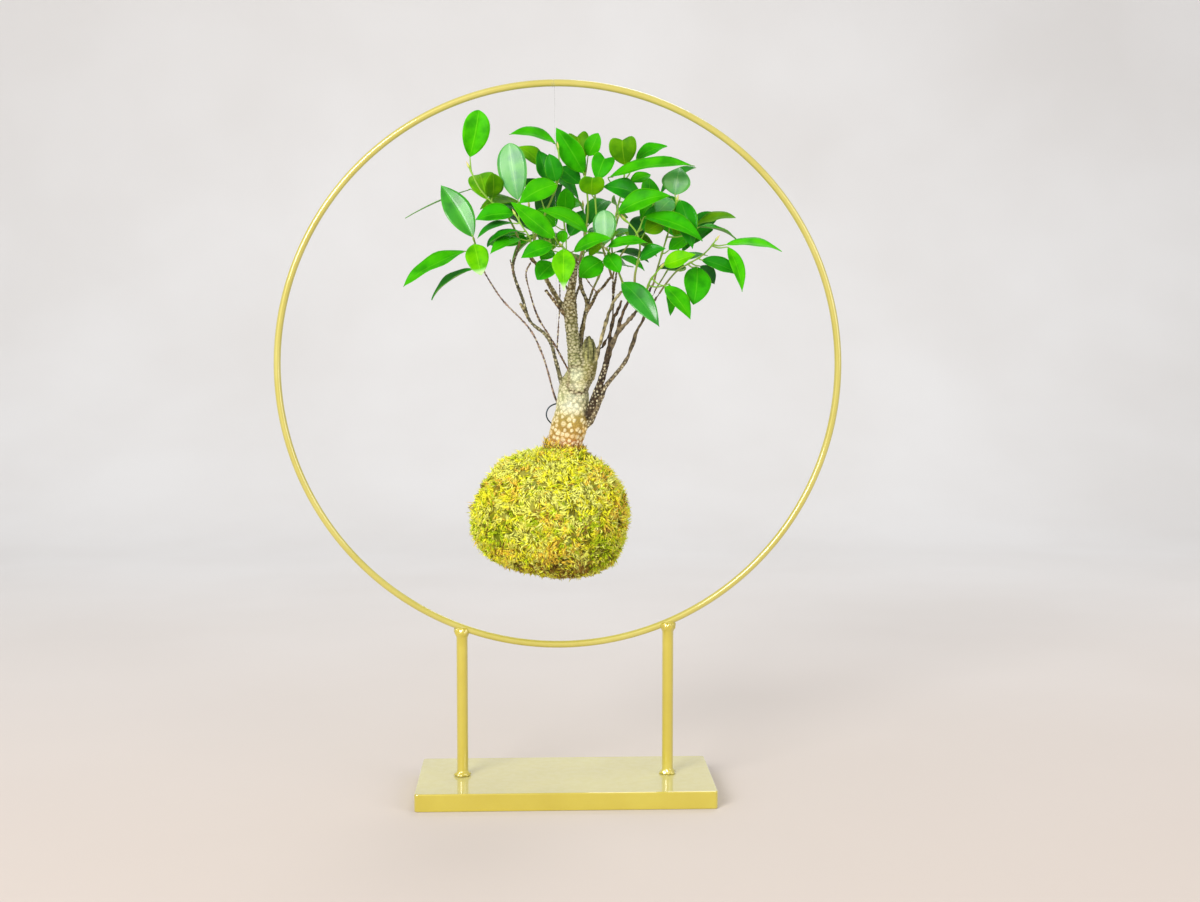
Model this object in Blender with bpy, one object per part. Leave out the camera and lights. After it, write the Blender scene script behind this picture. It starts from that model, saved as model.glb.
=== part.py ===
"""A kokedama bonsai that hangs in a round stand.

A rectangular plate carries two posts, and the posts carry a ring. A moss ball with a small fig tree in it
hangs in the ring on a thin line. Metres, +Z up. The origin is the centre of the plate's underside, and the
front looks along +Y. Run it in Blender 4.5, with blender --background --python part.py, or from its text
editor.
"""
import math
import random

import bmesh
import bpy
from mathutils import Vector
from mathutils.bvhtree import BVHTree

MM = 0.001

# Stand
RING_OUTSIDE = 0.400
RING_ROD = 0.005
RING_STEPS = 60
RING_CENTRE = Vector((-0.0037, 0.0, 0.3043))
POST_ROD = 0.008
POST_SPACING = 0.1467
PLATE_WIDTH = 0.2092
PLATE_DEPTH = 0.0961
PLATE_THICKNESS = 0.0125
PLATE_CORNER = 0.0025
PLATE_EDGE = 0.0008
FOOT_BEAD = 0.0028
TOP_BEAD = 0.0060

# What meets face to face keeps this gap
GAP = 0.0003

# Moss ball
MOSS_INNER_SCALE = 0.84
SOIL_SCALE = 0.828
MOSS_DEPTH_RATIO = 0.97
MOSS_RELIEF = 0.0009

# Plant
LEAF_THICKNESS = 0.0008
STALK_RADIUS = 0.00065
LEAF_FOLD = math.radians(17)
LEAF_ARCH = 0.07
# Outline of a leaf blade: how far along it and how wide, as shares of its length and width
BLADE = ((0.0, 0.07), (0.2, 0.72), (0.5, 1.0), (0.8, 0.68), (1.0, 0.06))
TWIG_TIP_RADIUS = 0.0006
LINE_RADIUS = 0.0003
WIRE_RADIUS = 0.0005

# The plant's places are read in one front view. A place there is (across, down, depth): the first two in the
# view's own units, which are 0.704 mm at the ring, and the depth in millimetres behind the ring.
EYE = Vector((-0.0202, -1.1292, 0.3220))
EYE_TURN = math.radians(2.286)
EYE_TILT = math.radians(-3.908)
VIEW_RANGE = 1600.0
VIEW_MIDDLE = (600.0, 451.0)
VIEW_UNIT = 0.000704


def seen(place):
    """The point in metres for a place in the front view."""
    across, down, depth = place
    forward = Vector((math.sin(EYE_TURN) * math.cos(EYE_TILT), math.cos(EYE_TURN) * math.cos(EYE_TILT),
                      math.sin(EYE_TILT)))
    right = Vector((math.cos(EYE_TURN), -math.sin(EYE_TURN), 0.0))
    up = right.cross(forward)
    ray = forward * VIEW_RANGE + right * (across - VIEW_MIDDLE[0]) + up * (VIEW_MIDDLE[1] - down)
    return EYE + ray * ((depth * MM - EYE.y) / ray.y)


# Trunk: places down its middle with the radius in view units
TRUNK = (((558, 503, 0), 5), ((560, 484, 0), 11), ((562, 464, 0), 15), ((564, 447, 0), 16.5),
         ((566.5, 436, 0), 17.2), ((570, 424, 0), 17.8), ((572.5, 412, 0), 16.8), ((573, 400, 0), 15.5),
         ((574, 388, 0), 14.5), ((577.5, 380, 0), 14), ((583, 372, 0), 13), ((586.5, 364, 0), 10.7),
         ((588.3, 354, 0), 9.5), ((589, 345, 0), 6.8), ((588.8, 339.5, 0), 4.0), ((588.6, 336.3, 0), 1.2))
LEADER = (((577, 392, 0), 11), ((576.5, 380, -1), 9), ((576, 370, -2), 7.8), ((575, 361, -2.5), 7.0),
          ((574, 350, -2), 6.4), ((572.8, 338, -1), 6.2), ((571.3, 322, 0), 6.3), ((570, 306, 0), 6.8),
          ((570.8, 292, 0), 4.4), ((573.5, 277, 0), 3.4), ((576, 262, 0), 2.6))

# Branches: the radius in millimetres at the root and at the tip, then places
BRANCHES = {
    "a": (0.8, 0.6, ((566, 412, 4), (556, 400, 6), (548, 372, 8), (541, 351, 9), (529, 328, 11),
                     (505, 303, 13), (494, 288, 14), (483, 270, 14))),
    "b": (1.5, 0.9, ((569, 397, -2), (562.5, 386, -3), (558.5, 371, -4), (555, 358, -5), (551.5, 345, -5),
                     (545, 334, -5), (530, 321, -6), (523, 300, -7), (513, 270, -8), (518, 249, -8))),
    "b_stub": (1.0, 0.85, ((528, 318, -6), (524, 310, -8), (520, 303, -9))),
    "b_side": (0.6, 0.5, ((513, 272, -8), (510, 259, -9))),
    "c": (0.85, 0.55, ((573, 379, -6), (557, 349, -10), (548, 334, -13), (537, 315, -16),
                     (529, 289, -19), (526, 273, -20), (531, 262, -21))),
    "d": (0.6, 0.5, ((557, 350, -10), (558.5, 325, -3), (560, 303, 7), (559.5, 283, 9))),
    "e": (1.9, 1.2, ((568, 313, 0), (559, 301, 2), (550, 286, 4), (541, 270, 6), (531, 258, 7))),
    "e_stub": (1.25, 1.1, ((566, 317, -2), (555, 302, -4), (545.5, 290, -5))),
    "e_back": (1.0, 0.7, ((550, 286, 4), (547, 278, 16), (543, 266, 26), (540, 255, 32))),
    "f": (1.7, 1.2, ((577, 352, 3), (580, 338, 6), (584, 320, 9), (587, 303, 11), (582, 290, 13),
                     (580, 277, 14), (580, 262, 16))),
    "f_right": (1.3, 1.0, ((585, 315, 10), (592, 303, 10), (597, 293, 11), (603, 287, 12),
                           (609, 279, 13))),
    "f_twig": (0.55, 0.5, ((597, 293, 11), (590, 284, 10), (585, 277, 9))),
    "g": (1.7, 1.0, ((588, 376, -2), (596, 357, -4), (600, 344, -5), (606, 322, -6), (613, 303, -7),
                     (622, 291, -6))),
    "g_dark": (0.9, 0.7, ((597, 353, -3), (604, 344, 0), (610, 332, 2), (613, 310, 3), (613, 295, 3),
                          (613, 280, 2))),
    "g_back": (0.9, 0.75, ((613, 303, 3), (614, 290, 14), (616, 276, 26), (618, 262, 34))),
    "h": (3.2, 1.7, ((580, 428, -3), (589, 412, -7), (596, 394, -11), (601, 381, -13), (606, 364, -15),
                     (609.3, 348, -14.5), (610.5, 337, -13))),
    "h_fork": (1.6, 1.4, ((606.5, 362, -15), (612.5, 344, -15), (618, 331, -15), (620, 328, -15))),
    "h_left": (1.3, 1.0, ((618, 332, -15), (621, 318, -15), (626, 306, -14), (633, 290, -14))),
    "h_right": (1.6, 1.1, ((618, 332, -15), (628, 321, -15), (636, 312, -14), (641, 304, -13))),
    "h_middle": (1.5, 0.8, ((610, 342, -14), (611, 330, -12), (613, 320, -11), (618, 310, -11),
                            (622, 300, -12))),
    "h_top": (1.0, 0.8, ((634, 314, -14), (643, 302, -6), (652, 286, 0))),
    "i": (1.9, 0.75, ((581, 431, -4), (590.5, 422, -7), (597, 408, -9), (602, 396, -11), (606, 386, -11),
                      (614, 376, -8), (625, 362, -4), (632, 346, 0), (638, 329, 2), (649, 309, 4),
                      (659, 294, 6))),
    "i_back": (0.8, 0.6, ((645, 316, 3), (649, 304, 14), (655, 291, 22))),
    "k": (1.5, 0.9, ((571, 328, 2), (572, 312, 14), (575, 298, 26), (580, 285, 36))),
    "k_left": (0.9, 0.7, ((574, 302, 22), (566, 286, 33), (558, 270, 40))),
    "m": (1.5, 0.9, ((581, 374, 5), (582, 355, 14), (582, 338, 22), (584, 320, 31), (588, 304, 38),
                     (592, 292, 43))),
}

# Leafy shoots: the branch whose tip carries the shoot, the places of its twig, and its leaves.
# A leaf is (base, tip, width in millimetres, turn in degrees): turned 0 it faces the front, and a larger turn
# lifts its face towards the sky.
SHOOTS = {
    "shoot_left_top": ("b", ((519, 240, -8), (513, 226, -7), (505, 213, -5), (496, 206, -3), (480, 189, -1),
                             (469, 167, 0)), (
        ((470, 157, 0), (479, 110, -4), 20, 10),
        ((486, 199, -1), (479, 173, 16), 20, 0),
        ((492, 198, -4), (493, 174, -18), 14, 20),
        ((471, 189, 15), (405, 218, 22), 13, 84))),
    "shoot_left_low": ("a", ((480, 258, 12), (476, 246, 8), (474, 240, 4)), (
        ((473, 237, 1), (441, 185, 12), 21, 10.5),
        ((465, 251, 12), (402, 284, 2), 18, 50),
        ((474, 244, 0), (481, 275, -10), 17, 0),
        ((472, 269, 15), (430, 298, 18), 15, 70))),
    "shoot_left_middle": ("c", ((532, 250, -22), (530, 238, -23), (522, 226, -23), (515, 214, -20)), (
        ((514, 214, -18), (475, 219, -20), 18, 40),
        ((513, 223, -22), (477, 237, -26), 15, 68),
        ((519, 231, -26), (489, 242, -32), 14, 70),
        ((521, 239, -28), (490, 252, -38), 15, 55),
        ((518, 200, -14), (509, 143, -10), 21, -13))),
    "shoot_behind_front": ("d", ((563, 272, 13), (566, 258, 17), (566, 240, 20), (564, 222, 21)), (
        ((556, 226, 19), (538, 209, 15), 15, 20),
        ((570, 236, 24), (583, 210, 30), 15, 20),
        ((564, 214, 20), (566, 188, 17), 15, 20))),
    "shoot_front": ("leader", ((572, 254, -8), (566, 250, -18), (561, 245, -29)), (
        ((564, 249, -36), (564, 290, -45), 17, 0),
        ((555, 238, -37), (511.5, 202, -46), 15, 20),
        ((553, 245, -28), (521, 257, -31), 15, 35),
        ((563, 243, -28), (562, 230, -22), 8, 0),
        ((553, 263, -8), (537, 279, -13), 16, 20),
        ((553, 251, -17), (541, 259, -22), 12, 30),
        ((574, 251, -17), (610, 237, -32), 16, 48))),
    "shoot_left_fork": ("e", ((532, 247, 7), (537, 232, 5), (545, 214, 1), (552, 198, -3), (558, 180, -6),
                              (559, 160, -7), (558, 148, -7)), (
        ((556, 144, -8), (509.5, 133, -12), 16, 55),
        ((547, 181, 0), (538.5, 150, -2), 17, 35),
        ((556, 182, -10), (549, 154, -15), 14, 15),
        ((557, 184, -13), (519, 203, -24), 17, 15),
        ((542, 166, 10), (518, 146, 14), 14, 30),
        ((541, 198, 6), (526, 178, 10), 13, 20))),
    "shoot_top": ("f", ((583, 248, 16), (586, 230, 15), (588, 210, 12), (587, 192, 9), (585, 180, 6),
                        (585, 170, 6)), (
        ((584, 173, 4), (556, 128, -2), 18, -20),
        ((581, 163, 14), (576, 130, 18), 16, 0),
        ((588, 156, 3), (598, 133, -1), 13, 20),
        ((580, 184, 14), (559, 166, 20), 14, 20))),
    "shoot_top_middle": ("f_right", ((607, 262, 10), (602, 245, 3), (598, 228, -4), (596, 210, -8),
                                     (595, 192, -10), (596, 183, -11)), (
        ((597, 180, -12), (607, 153, -8), 16, 0),
        ((592, 195, -14), (593, 174, -26), 18, 0),
        ((588, 232, -17), (541, 209.5, -35), 15, 40),
        ((605, 244, -12), (604, 210, -9), 17, -17))),
    "shoot_top_right": ("g_dark", ((614, 268, 0), (612, 250, 0), (612, 232, 0), (616, 214, 0), (621, 194, -1),
                                   (625, 172, -2)), (
        ((625, 165, -2), (622, 134, -8), 20, 0),
        ((636, 160, 4), (667, 145, 8), 13, 40),
        ((608, 178, -12), (694, 163, -30), 17, 55),
        ((640, 195, -8), (604, 186, -20), 16, 15),
        ((630, 182, 4), (651, 174, 10), 10, 30))),
    "shoot_middle": ("g", ((622, 281, -8), (617, 268, -11), (612, 256, -14), (607, 250, -18)), (
        ((622, 282, -16), (659, 326, -38), 17, 10),
        ((607, 247, -24), (648, 242, -30), 11, 45),
        ((607, 254, -14), (620, 272, -22), 13, 10),
        ((620, 257, -8), (645, 270, -8), 12, 60),
        ((602, 261, -13), (580, 277, -20), 17, 10))),
    "shoot_right_middle": ("h_left", ((635, 275, -15), (638, 260, -16), (640, 246, -17), (636, 232, -18),
                                      (625, 219, -19)), (
        ((618, 213, -21), (669, 194, -32), 17, 30),
        ((644, 217, -20), (703, 239, -30), 16, 35),
        ((640, 260, -22), (665, 248, -28), 13, 40),
        ((645, 232, -12), (664, 222, -8), 14, 20))),
    "shoot_right_top": ("h_top", ((657, 270, 3), (663, 250, 2), (669, 230, -2), (674, 212, -6),
                                  (677, 200, -8)), (
        ((680, 200, -8), (692, 248, -18), 22, -15),
        ((675, 195, -8), (680, 167, -8), 21, -18),
        ((672, 199, -5), (657, 214, -17), 15, 21),
        ((669, 250, 6), (690, 235, 14), 15, 20),
        ((699, 227, 4), (738, 239, 12), 13, 78))),
    "shoot_right_low": ("h_right", ((646, 293, -11), (650, 281, -14), (656, 273, -18), (661, 267, -22)), (
        ((664, 265, -24), (695, 254, -32), 18, 30),
        ((665, 286, -24), (691, 318, -34), 15, 30),
        ((669, 284, -10), (671, 316, -6), 13, 40))),
    "shoot_right_tip": ("i", ((668, 281, 4), (678, 270, 2), (688, 264, 0), (700, 257, -2), (709, 249, -3),
                              (716, 240, -3)), (
        ((726, 244.5, -4), (782, 249, -10), 15, 62),
        ((728, 247, -6), (743, 291, -14), 14, 20),
        ((702, 260, -3), (740, 275, -6), 16, 30),
        ((700, 266, 4), (715, 284, 8), 12, 30),
        ((697, 267, -11), (694, 304, -24), 20, 5),
        ((686, 268, 10), (657, 268, 14), 13, 50))),
}

# Shoots of the crown's far side: the carrying branch, the twig's places, and the draw that places its leaves
BACK_SHOOTS = {
    "shoot_back_middle": ("k", ((582, 268, 42), (584, 248, 47), (584, 228, 50), (583, 206, 50)), 3),
    "shoot_back_left": ("k_left", ((553, 254, 44), (549, 234, 48), (547, 212, 48)), 5),
    "shoot_back_right": ("m", ((600, 274, 48), (607, 256, 52), (613, 238, 53), (618, 218, 52)), 7),
    "shoot_far_left": ("e_back", ((535, 240, 36), (531, 224, 38), (529, 206, 36)), 9),
    "shoot_far_right": ("g_back", ((626, 248, 37), (637, 234, 39), (648, 216, 38), (655, 200, 36)), 11),
    "shoot_right_back": ("i_back", ((664, 276, 26), (673, 260, 28), (681, 244, 28), (686, 228, 25)), 13),
}
BACK_LEAVES = 6
DRAWS = 160
CROWN_MIDDLE = Vector((0.015, 0.010, 0.395))
CROWN_FLOOR = 0.378

# The wire behind the trunk, and the hanging line from the ring's top to the wire
WIRE = ((584.5, 402, 8.4), (579, 401.5, 11.0), (572, 401, 11.9), (564, 402, 11.2), (556.5, 403.5, 10),
        (550, 406.5, 8), (547, 411, 7), (546.5, 416, 7), (549, 421, 8), (554, 425, 10.2), (561, 427, 12.3),
        (569, 428, 13.5), (578, 428, 12.4), (585, 427, 9.3))
LINE_TOP = (554.5, 84, 0)
LINE_FOOT = (557.5, 403.3, 10.2)
LINE_TURNS = 1.5

# Outline of the moss ball: at each height, the left and the right side in the front view
MOSS_LEVELS = ((446, 545, 584), (449, 533, 586.5), (453, 517, 588), (459, 504, 598), (466, 495, 607.5),
               (475, 487, 616), (486, 481, 622.5), (498, 475, 627), (511, 471, 629), (524, 471, 629),
               (537, 473, 626), (548, 479, 623), (557, 488, 619), (564, 500, 614), (570, 516, 606),
               (575, 540, 593))
MOSS_TOP = (565, 441)
MOSS_BOTTOM = (568, 577.5)


def clear_scene():
    for thing in list(bpy.data.objects):
        bpy.data.objects.remove(thing, do_unlink=True)


def material(name, colour, roughness, metallic=0.0):
    made = bpy.data.materials.new(name)
    made.use_nodes = True
    shader = made.node_tree.nodes["Principled BSDF"]
    shader.inputs["Base Color"].default_value = (*colour, 1.0)
    shader.inputs["Roughness"].default_value = roughness
    shader.inputs["Metallic"].default_value = metallic
    made.diffuse_color = (*colour, 1.0)
    return made


def add_object(name, points, faces, finish, smooth_angle=math.radians(40)):
    mesh = bpy.data.meshes.new(name)
    mesh.from_pydata([tuple(p) for p in points], [], faces)
    mesh.materials.append(finish)
    mesh.shade_smooth()
    mesh.set_sharp_from_angle(angle=smooth_angle)
    thing = bpy.data.objects.new(name, mesh)
    bpy.context.scene.collection.objects.link(thing)
    return thing


def apply_modifiers(thing):
    bpy.context.view_layer.update()
    evaluated = thing.evaluated_get(bpy.context.evaluated_depsgraph_get())
    mesh = bpy.data.meshes.new_from_object(evaluated)
    thing.modifiers.clear()
    old = thing.data
    thing.data = mesh
    bpy.data.meshes.remove(old)


def cut(thing, tool, solver="EXACT"):
    """Takes the tool's space out of the thing, and removes the tool."""
    boolean = thing.modifiers.new("cut", "BOOLEAN")
    boolean.operation = "DIFFERENCE"
    boolean.object = tool
    boolean.solver = solver
    apply_modifiers(thing)
    bpy.data.objects.remove(tool, do_unlink=True)


def join(name, bodies, finish, solver="EXACT"):
    """One body from overlapping ones, each given as points and faces."""
    first = add_object(name, *bodies[0], finish)
    group = bpy.data.collections.new(name)
    bpy.context.scene.collection.children.link(group)
    for points, faces in bodies[1:]:
        other = add_object(name + "_piece", points, faces, finish)
        bpy.context.scene.collection.objects.unlink(other)
        group.objects.link(other)
    union = first.modifiers.new("join", "BOOLEAN")
    union.operation = "UNION"
    union.operand_type = "COLLECTION"
    union.collection = group
    union.solver = solver
    apply_modifiers(first)
    for other in list(group.objects):
        bpy.data.objects.remove(other, do_unlink=True)
    bpy.data.collections.remove(group)
    keep_outer_skin(first)
    return first


def keep_outer_skin(thing):
    """Drops what a union leaves beside the main body: sealed hollows and scraps."""
    mesh = bmesh.new()
    mesh.from_mesh(thing.data)
    left = set(mesh.verts)
    islands = []
    while left:
        island = set()
        edge = [left.pop()]
        while edge:
            corner = edge.pop()
            island.add(corner)
            for link in corner.link_edges:
                neighbour = link.other_vert(corner)
                if neighbour in left:
                    left.discard(neighbour)
                    edge.append(neighbour)
        islands.append(island)
    islands.sort(key=len)
    for island in islands[:-1]:
        bmesh.ops.delete(mesh, geom=list(island), context="VERTS")
    mesh.to_mesh(thing.data)
    mesh.free()


def tube(path, radii, sides):
    """A round body along a path, with flat ends: its points and faces."""
    points = []
    faces = []
    side = None
    for i, centre in enumerate(path):
        before = path[max(i - 1, 0)]
        after = path[min(i + 1, len(path) - 1)]
        along = (after - before).normalized()
        if side is None:
            side = along.cross(Vector((0.0, 1.0, 0.0)))
            if side.length < 0.2:
                side = along.cross(Vector((1.0, 0.0, 0.0)))
        side = (side - along * side.dot(along)).normalized()
        other = along.cross(side)
        for k in range(sides):
            angle = 2 * math.pi * k / sides
            points.append(centre + (side * math.cos(angle) + other * math.sin(angle)) * radii[i])
    for i in range(len(path) - 1):
        for k in range(sides):
            a = i * sides + k
            b = i * sides + (k + 1) % sides
            faces.append((a, b, b + sides, a + sides))
    faces.append(tuple(reversed(range(sides))))
    faces.append(tuple(range((len(path) - 1) * sides, len(path) * sides)))
    return points, faces


def tapered(path, root, tip):
    """Radii that run evenly from the root's to the tip's along a path."""
    lengths = [0.0]
    for a, b in zip(path, path[1:]):
        lengths.append(lengths[-1] + (b - a).length)
    return [root + (tip - root) * s / lengths[-1] for s in lengths]


def make_plate(gold):
    half_x = PLATE_WIDTH / 2
    half_y = PLATE_DEPTH / 2
    points = [(x, y, z) for z in (0.0, PLATE_THICKNESS)
              for x, y in ((-half_x, -half_y), (half_x, -half_y), (half_x, half_y), (-half_x, half_y))]
    faces = [(3, 2, 1, 0), (4, 5, 6, 7), (0, 1, 5, 4), (1, 2, 6, 5), (2, 3, 7, 6), (3, 0, 4, 7)]
    plate = add_object("base_plate", points, faces, gold, math.radians(30))
    upright = plate.data.attributes.new("bevel_weight_edge", "FLOAT", "EDGE")
    for edge in plate.data.edges:
        low, high = (plate.data.vertices[i].co.z for i in edge.vertices)
        upright.data[edge.index].value = 1.0 if low != high else 0.0
    corners = plate.modifiers.new("corners", "BEVEL")
    corners.limit_method = "WEIGHT"
    corners.width = PLATE_CORNER
    corners.segments = 4
    apply_modifiers(plate)
    edges = plate.modifiers.new("edges", "BEVEL")
    edges.limit_method = "ANGLE"
    edges.angle_limit = math.radians(50)
    edges.width = PLATE_EDGE
    edges.segments = 2
    return plate


def ring_body(rod_radius, steps, sides):
    """The ring as a turned rod of the given radius: its points and faces."""
    radius = (RING_OUTSIDE - RING_ROD) / 2
    points = []
    faces = []
    for i in range(steps):
        turn = 2 * math.pi * (i + 0.5) / steps
        out = Vector((math.sin(turn), 0.0, -math.cos(turn)))
        for k in range(sides):
            angle = 2 * math.pi * (k + 0.5) / sides
            points.append(RING_CENTRE + out * (radius + rod_radius * math.cos(angle))
                          + Vector((0.0, rod_radius * math.sin(angle), 0.0)))
    for i in range(steps):
        for k in range(sides):
            a = i * sides + k
            b = i * sides + (k + 1) % sides
            c = (i + 1) % steps * sides + (k + 1) % sides
            d = (i + 1) % steps * sides + k
            faces.append((a, b, c, d))
    return points, faces


def turned(profile, sides, x):
    """A body turned about an upright axis at x, from (radius, height) points that end on the axis."""
    points = [Vector((x, 0.0, profile[0][1]))]
    faces = []
    rows = profile[1:-1]
    for radius, height in rows:
        for k in range(sides):
            angle = 2 * math.pi * k / sides
            points.append(Vector((x + radius * math.cos(angle), radius * math.sin(angle), height)))
    points.append(Vector((x, 0.0, profile[-1][1])))
    last = len(points) - 1
    for k in range(sides):
        after = (k + 1) % sides
        faces.append((0, 1 + after, 1 + k))
        for row in range(len(rows) - 1):
            a = 1 + row * sides
            faces.append((a + k, a + after, a + sides + after, a + sides + k))
        top = 1 + (len(rows) - 1) * sides
        faces.append((top + k, top + after, last))
    return points, faces


def make_post(name, x, gold):
    """A post with its weld beads, its top shaped to the rod that lies on it."""
    radius = POST_ROD / 2
    ring_radius = (RING_OUTSIDE - RING_ROD) / 2
    across = x - RING_CENTRE.x
    seat = RING_CENTRE.z - math.sqrt(ring_radius ** 2 - across ** 2)
    foot = PLATE_THICKNESS + GAP
    top = seat + RING_ROD * 0.15
    bead = FOOT_BEAD
    cap = TOP_BEAD
    profile = [(0.0, foot), (radius + bead * 0.75, foot), (radius + bead * 0.85, foot + bead * 0.35),
               (radius + bead * 0.45, foot + bead * 0.8), (radius, foot + bead * 1.1),
               (radius, top - cap * 1.15), (cap * 0.82, top - cap * 0.8), (cap, top - cap * 0.4),
               (cap * 0.8, top - cap * 0.08), (cap * 0.4, top), (0.0, top)]
    post = add_object(name, *turned(profile, 14, x), gold)
    groove = add_object("groove", *ring_body(RING_ROD / 2 + GAP, RING_STEPS, 8), gold)
    cut(post, groove)
    return post


def trunk_body(table, sides, extra=0.0):
    """The trunk or its leader; with extra, a body that is larger all round and reaches past its foot."""
    path = [seen(place) for place, _ in table]
    radii = [radius * VIEW_UNIT + extra for _, radius in table]
    path[0] = path[0] + (path[0] - path[1]).normalized() * extra
    return tube(path, radii, sides)


def branch_path(name):
    if name == "leader":
        return [seen(place) for place, _ in LEADER]
    return [seen(place) for place in BRANCHES[name][2]]


def tip_radius(name):
    if name == "leader":
        return LEADER[-1][1] * VIEW_UNIT
    return BRANCHES[name][1] * MM


def make_trunk(bark):
    bodies = [trunk_body(TRUNK, 12), trunk_body(LEADER, 8)]
    for name, (root, tip, _) in BRANCHES.items():
        path = branch_path(name)
        bodies.append(tube(path, tapered(path, root * MM, tip * MM), 5))
    return join("trunk_and_branches", bodies, bark)


def leaf_frame(base, tip, turn):
    """The blade's direction, its sideways direction and its face's direction."""
    along = (tip - base).normalized()
    facing = Vector((0.0, -1.0, 0.0))
    facing = facing - along * facing.dot(along)
    if facing.length < 0.25:
        facing = Vector((0.0, 0.0, 1.0)) - along * along.z
    facing.normalize()
    lift = facing.cross(along)
    if lift.z + 0.3 * lift.x < 0:
        lift.negate()
    angle = math.radians(turn)
    face = facing * math.cos(angle) + lift * math.sin(angle)
    return along, face.cross(along), face


def leaf_body(root, base, tip, width, turn, thickness=LEAF_THICKNESS):
    """A leaf with its stalk, as one thin body from its root on the twig to its tip."""
    along, side, face = leaf_frame(base, tip, turn)
    length = (tip - base).length
    stalk = (base - root).normalized()
    stalk_face = (face - stalk * face.dot(stalk)).normalized()
    stalk_side = stalk_face.cross(stalk)
    narrow = ((1, 1), (-1, 1), (-1, -1), (1, -1))
    broad = ((1, 1), (0, 1), (-1, 1), (-1, -1), (0, -1), (1, -1))
    foot = STALK_RADIUS * 0.7
    rows = [[root + (stalk_side * across + stalk_face * out) * foot for across, out in narrow]]
    for share, wide in BLADE:
        arch = LEAF_ARCH * length * 4 * share * (1 - share)
        centre = base + along * (length * share) + face * arch
        reach = max(wide * width / 2, STALK_RADIUS)
        spread = side * (reach * math.cos(LEAF_FOLD))
        rise = face * (reach * math.sin(LEAF_FOLD))
        row = []
        for across, out in (broad if wide > 0.3 else narrow):
            lifted = rise if across and wide > 0.3 else Vector()
            row.append(centre + spread * across + lifted + face * (out * thickness / 2))
        rows.append(row)
    return skin(rows)


# How a four-point row meets a six-point row: corners of each face, as (row, place in the row)
WIDENING = (((0, 0), (0, 1), (1, 1)), ((0, 0), (1, 1), (1, 0)), ((0, 1), (1, 2), (1, 1)),
            ((0, 1), (0, 2), (1, 3), (1, 2)), ((0, 2), (0, 3), (1, 4)), ((0, 2), (1, 4), (1, 3)),
            ((0, 3), (1, 5), (1, 4)), ((0, 3), (0, 0), (1, 0), (1, 5)))


def skin(rows):
    """A closed body through rows of four or six points each: its points and faces."""
    points = [point for row in rows for point in row]
    faces = [tuple(reversed(range(len(rows[0]))))]
    first = 0
    for row, after in zip(rows, rows[1:]):
        second = first + len(row)
        if len(row) == len(after):
            for k in range(len(row)):
                turned = (k + 1) % len(row)
                faces.append((first + k, first + turned, second + turned, second + k))
        elif len(row) < len(after):
            for corners in WIDENING:
                faces.append(tuple((first, second)[which] + place for which, place in corners))
        else:
            for corners in WIDENING:
                faces.append(tuple((second, first)[which] + place for which, place in reversed(corners)))
        first = second
    faces.append(tuple(range(first, len(points))))
    return points, faces


def twig_path(branch, places):
    """A twig's points: it starts just past its branch's tip, in line with it."""
    before, end = branch_path(branch)[-2:]
    along = (end - before).normalized()
    start = end + along * GAP
    return [start, start + along * 0.0025] + [seen(place) for place in places]


def stalk_root(path, base):
    """Where a leaf's stalk leaves its twig: a little before the twig's nearest point."""
    best = None
    travelled = 0.0
    for a, b in zip(path, path[1:]):
        step = b - a
        share = max(0.0, min(1.0, (base - a).dot(step) / step.length_squared))
        near = a + step * share
        distance = (base - near).length
        if best is None or distance < best[0]:
            best = (distance, travelled + step.length * share)
        travelled += step.length
    place = max(0.003, min(best[1] - best[0] * 0.5, travelled - 0.0008))
    for a, b in zip(path, path[1:]):
        reach = (b - a).length
        if place <= reach:
            return a + (b - a) * (place / reach)
        place -= reach
    return path[-1]


def point_on(path, place):
    """The point a given way along a path, and the path's direction there."""
    for a, b in zip(path, path[1:]):
        reach = (b - a).length
        if place <= reach:
            return a + (b - a) * (place / reach), (b - a).normalized()
        place -= reach
    return path[-1], (path[-1] - path[-2]).normalized()


def back_leaves(path, draw, crown):
    """Leaves of a far shoot: seeded draws round its twig, each kept if it is clear of what is set already."""
    chance = random.Random(draw)
    leaves = []
    total = sum((b - a).length for a, b in zip(path, path[1:]))
    for i in range(BACK_LEAVES):
        origin, along = point_on(path, total * (0.25 + 0.74 * i / (BACK_LEAVES - 1)))
        outward = origin - CROWN_MIDDLE
        outward.z *= 0.4
        outward.normalize()
        for _ in range(DRAWS):
            spread = Vector([chance.uniform(-1, 1) for _ in range(3)])
            heading = (outward * 0.7 + along * 0.25 + spread).normalized()
            base = origin + heading * chance.uniform(0.006, 0.009)
            droop = Vector((0.0, 0.0, chance.uniform(-0.5, 0.0)))
            length = chance.uniform(0.026, 0.034)
            tip = base + (heading + droop).normalized() * length
            leaf = (base, tip, length * 0.56, chance.uniform(20, 75))
            body = leaf_body(stalk_root(path, base), *leaf, LEAF_THICKNESS + 4 * GAP)
            if tip.z > CROWN_FLOOR and crown.is_clear(body, path):
                crown.add(body)
                leaves.append(leaf)
                break
    return leaves


class Crown:
    """What is set in the crown already."""

    def __init__(self):
        self.trees = []

    def add(self, body, path=None):
        self.trees.append((BVHTree.FromPolygons(*body), path))

    def is_clear(self, body, own_path):
        """Whether a leaf crosses nothing but the twig that it grows on."""
        tree = BVHTree.FromPolygons(*body)
        return not any(path != own_path and tree.overlap(other) for other, path in self.trees)


def twig_body(branch, places):
    path = twig_path(branch, places)
    return tube(path, tapered(path, min(tip_radius(branch) * 0.85, 0.0012), TWIG_TIP_RADIUS), 5)


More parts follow.
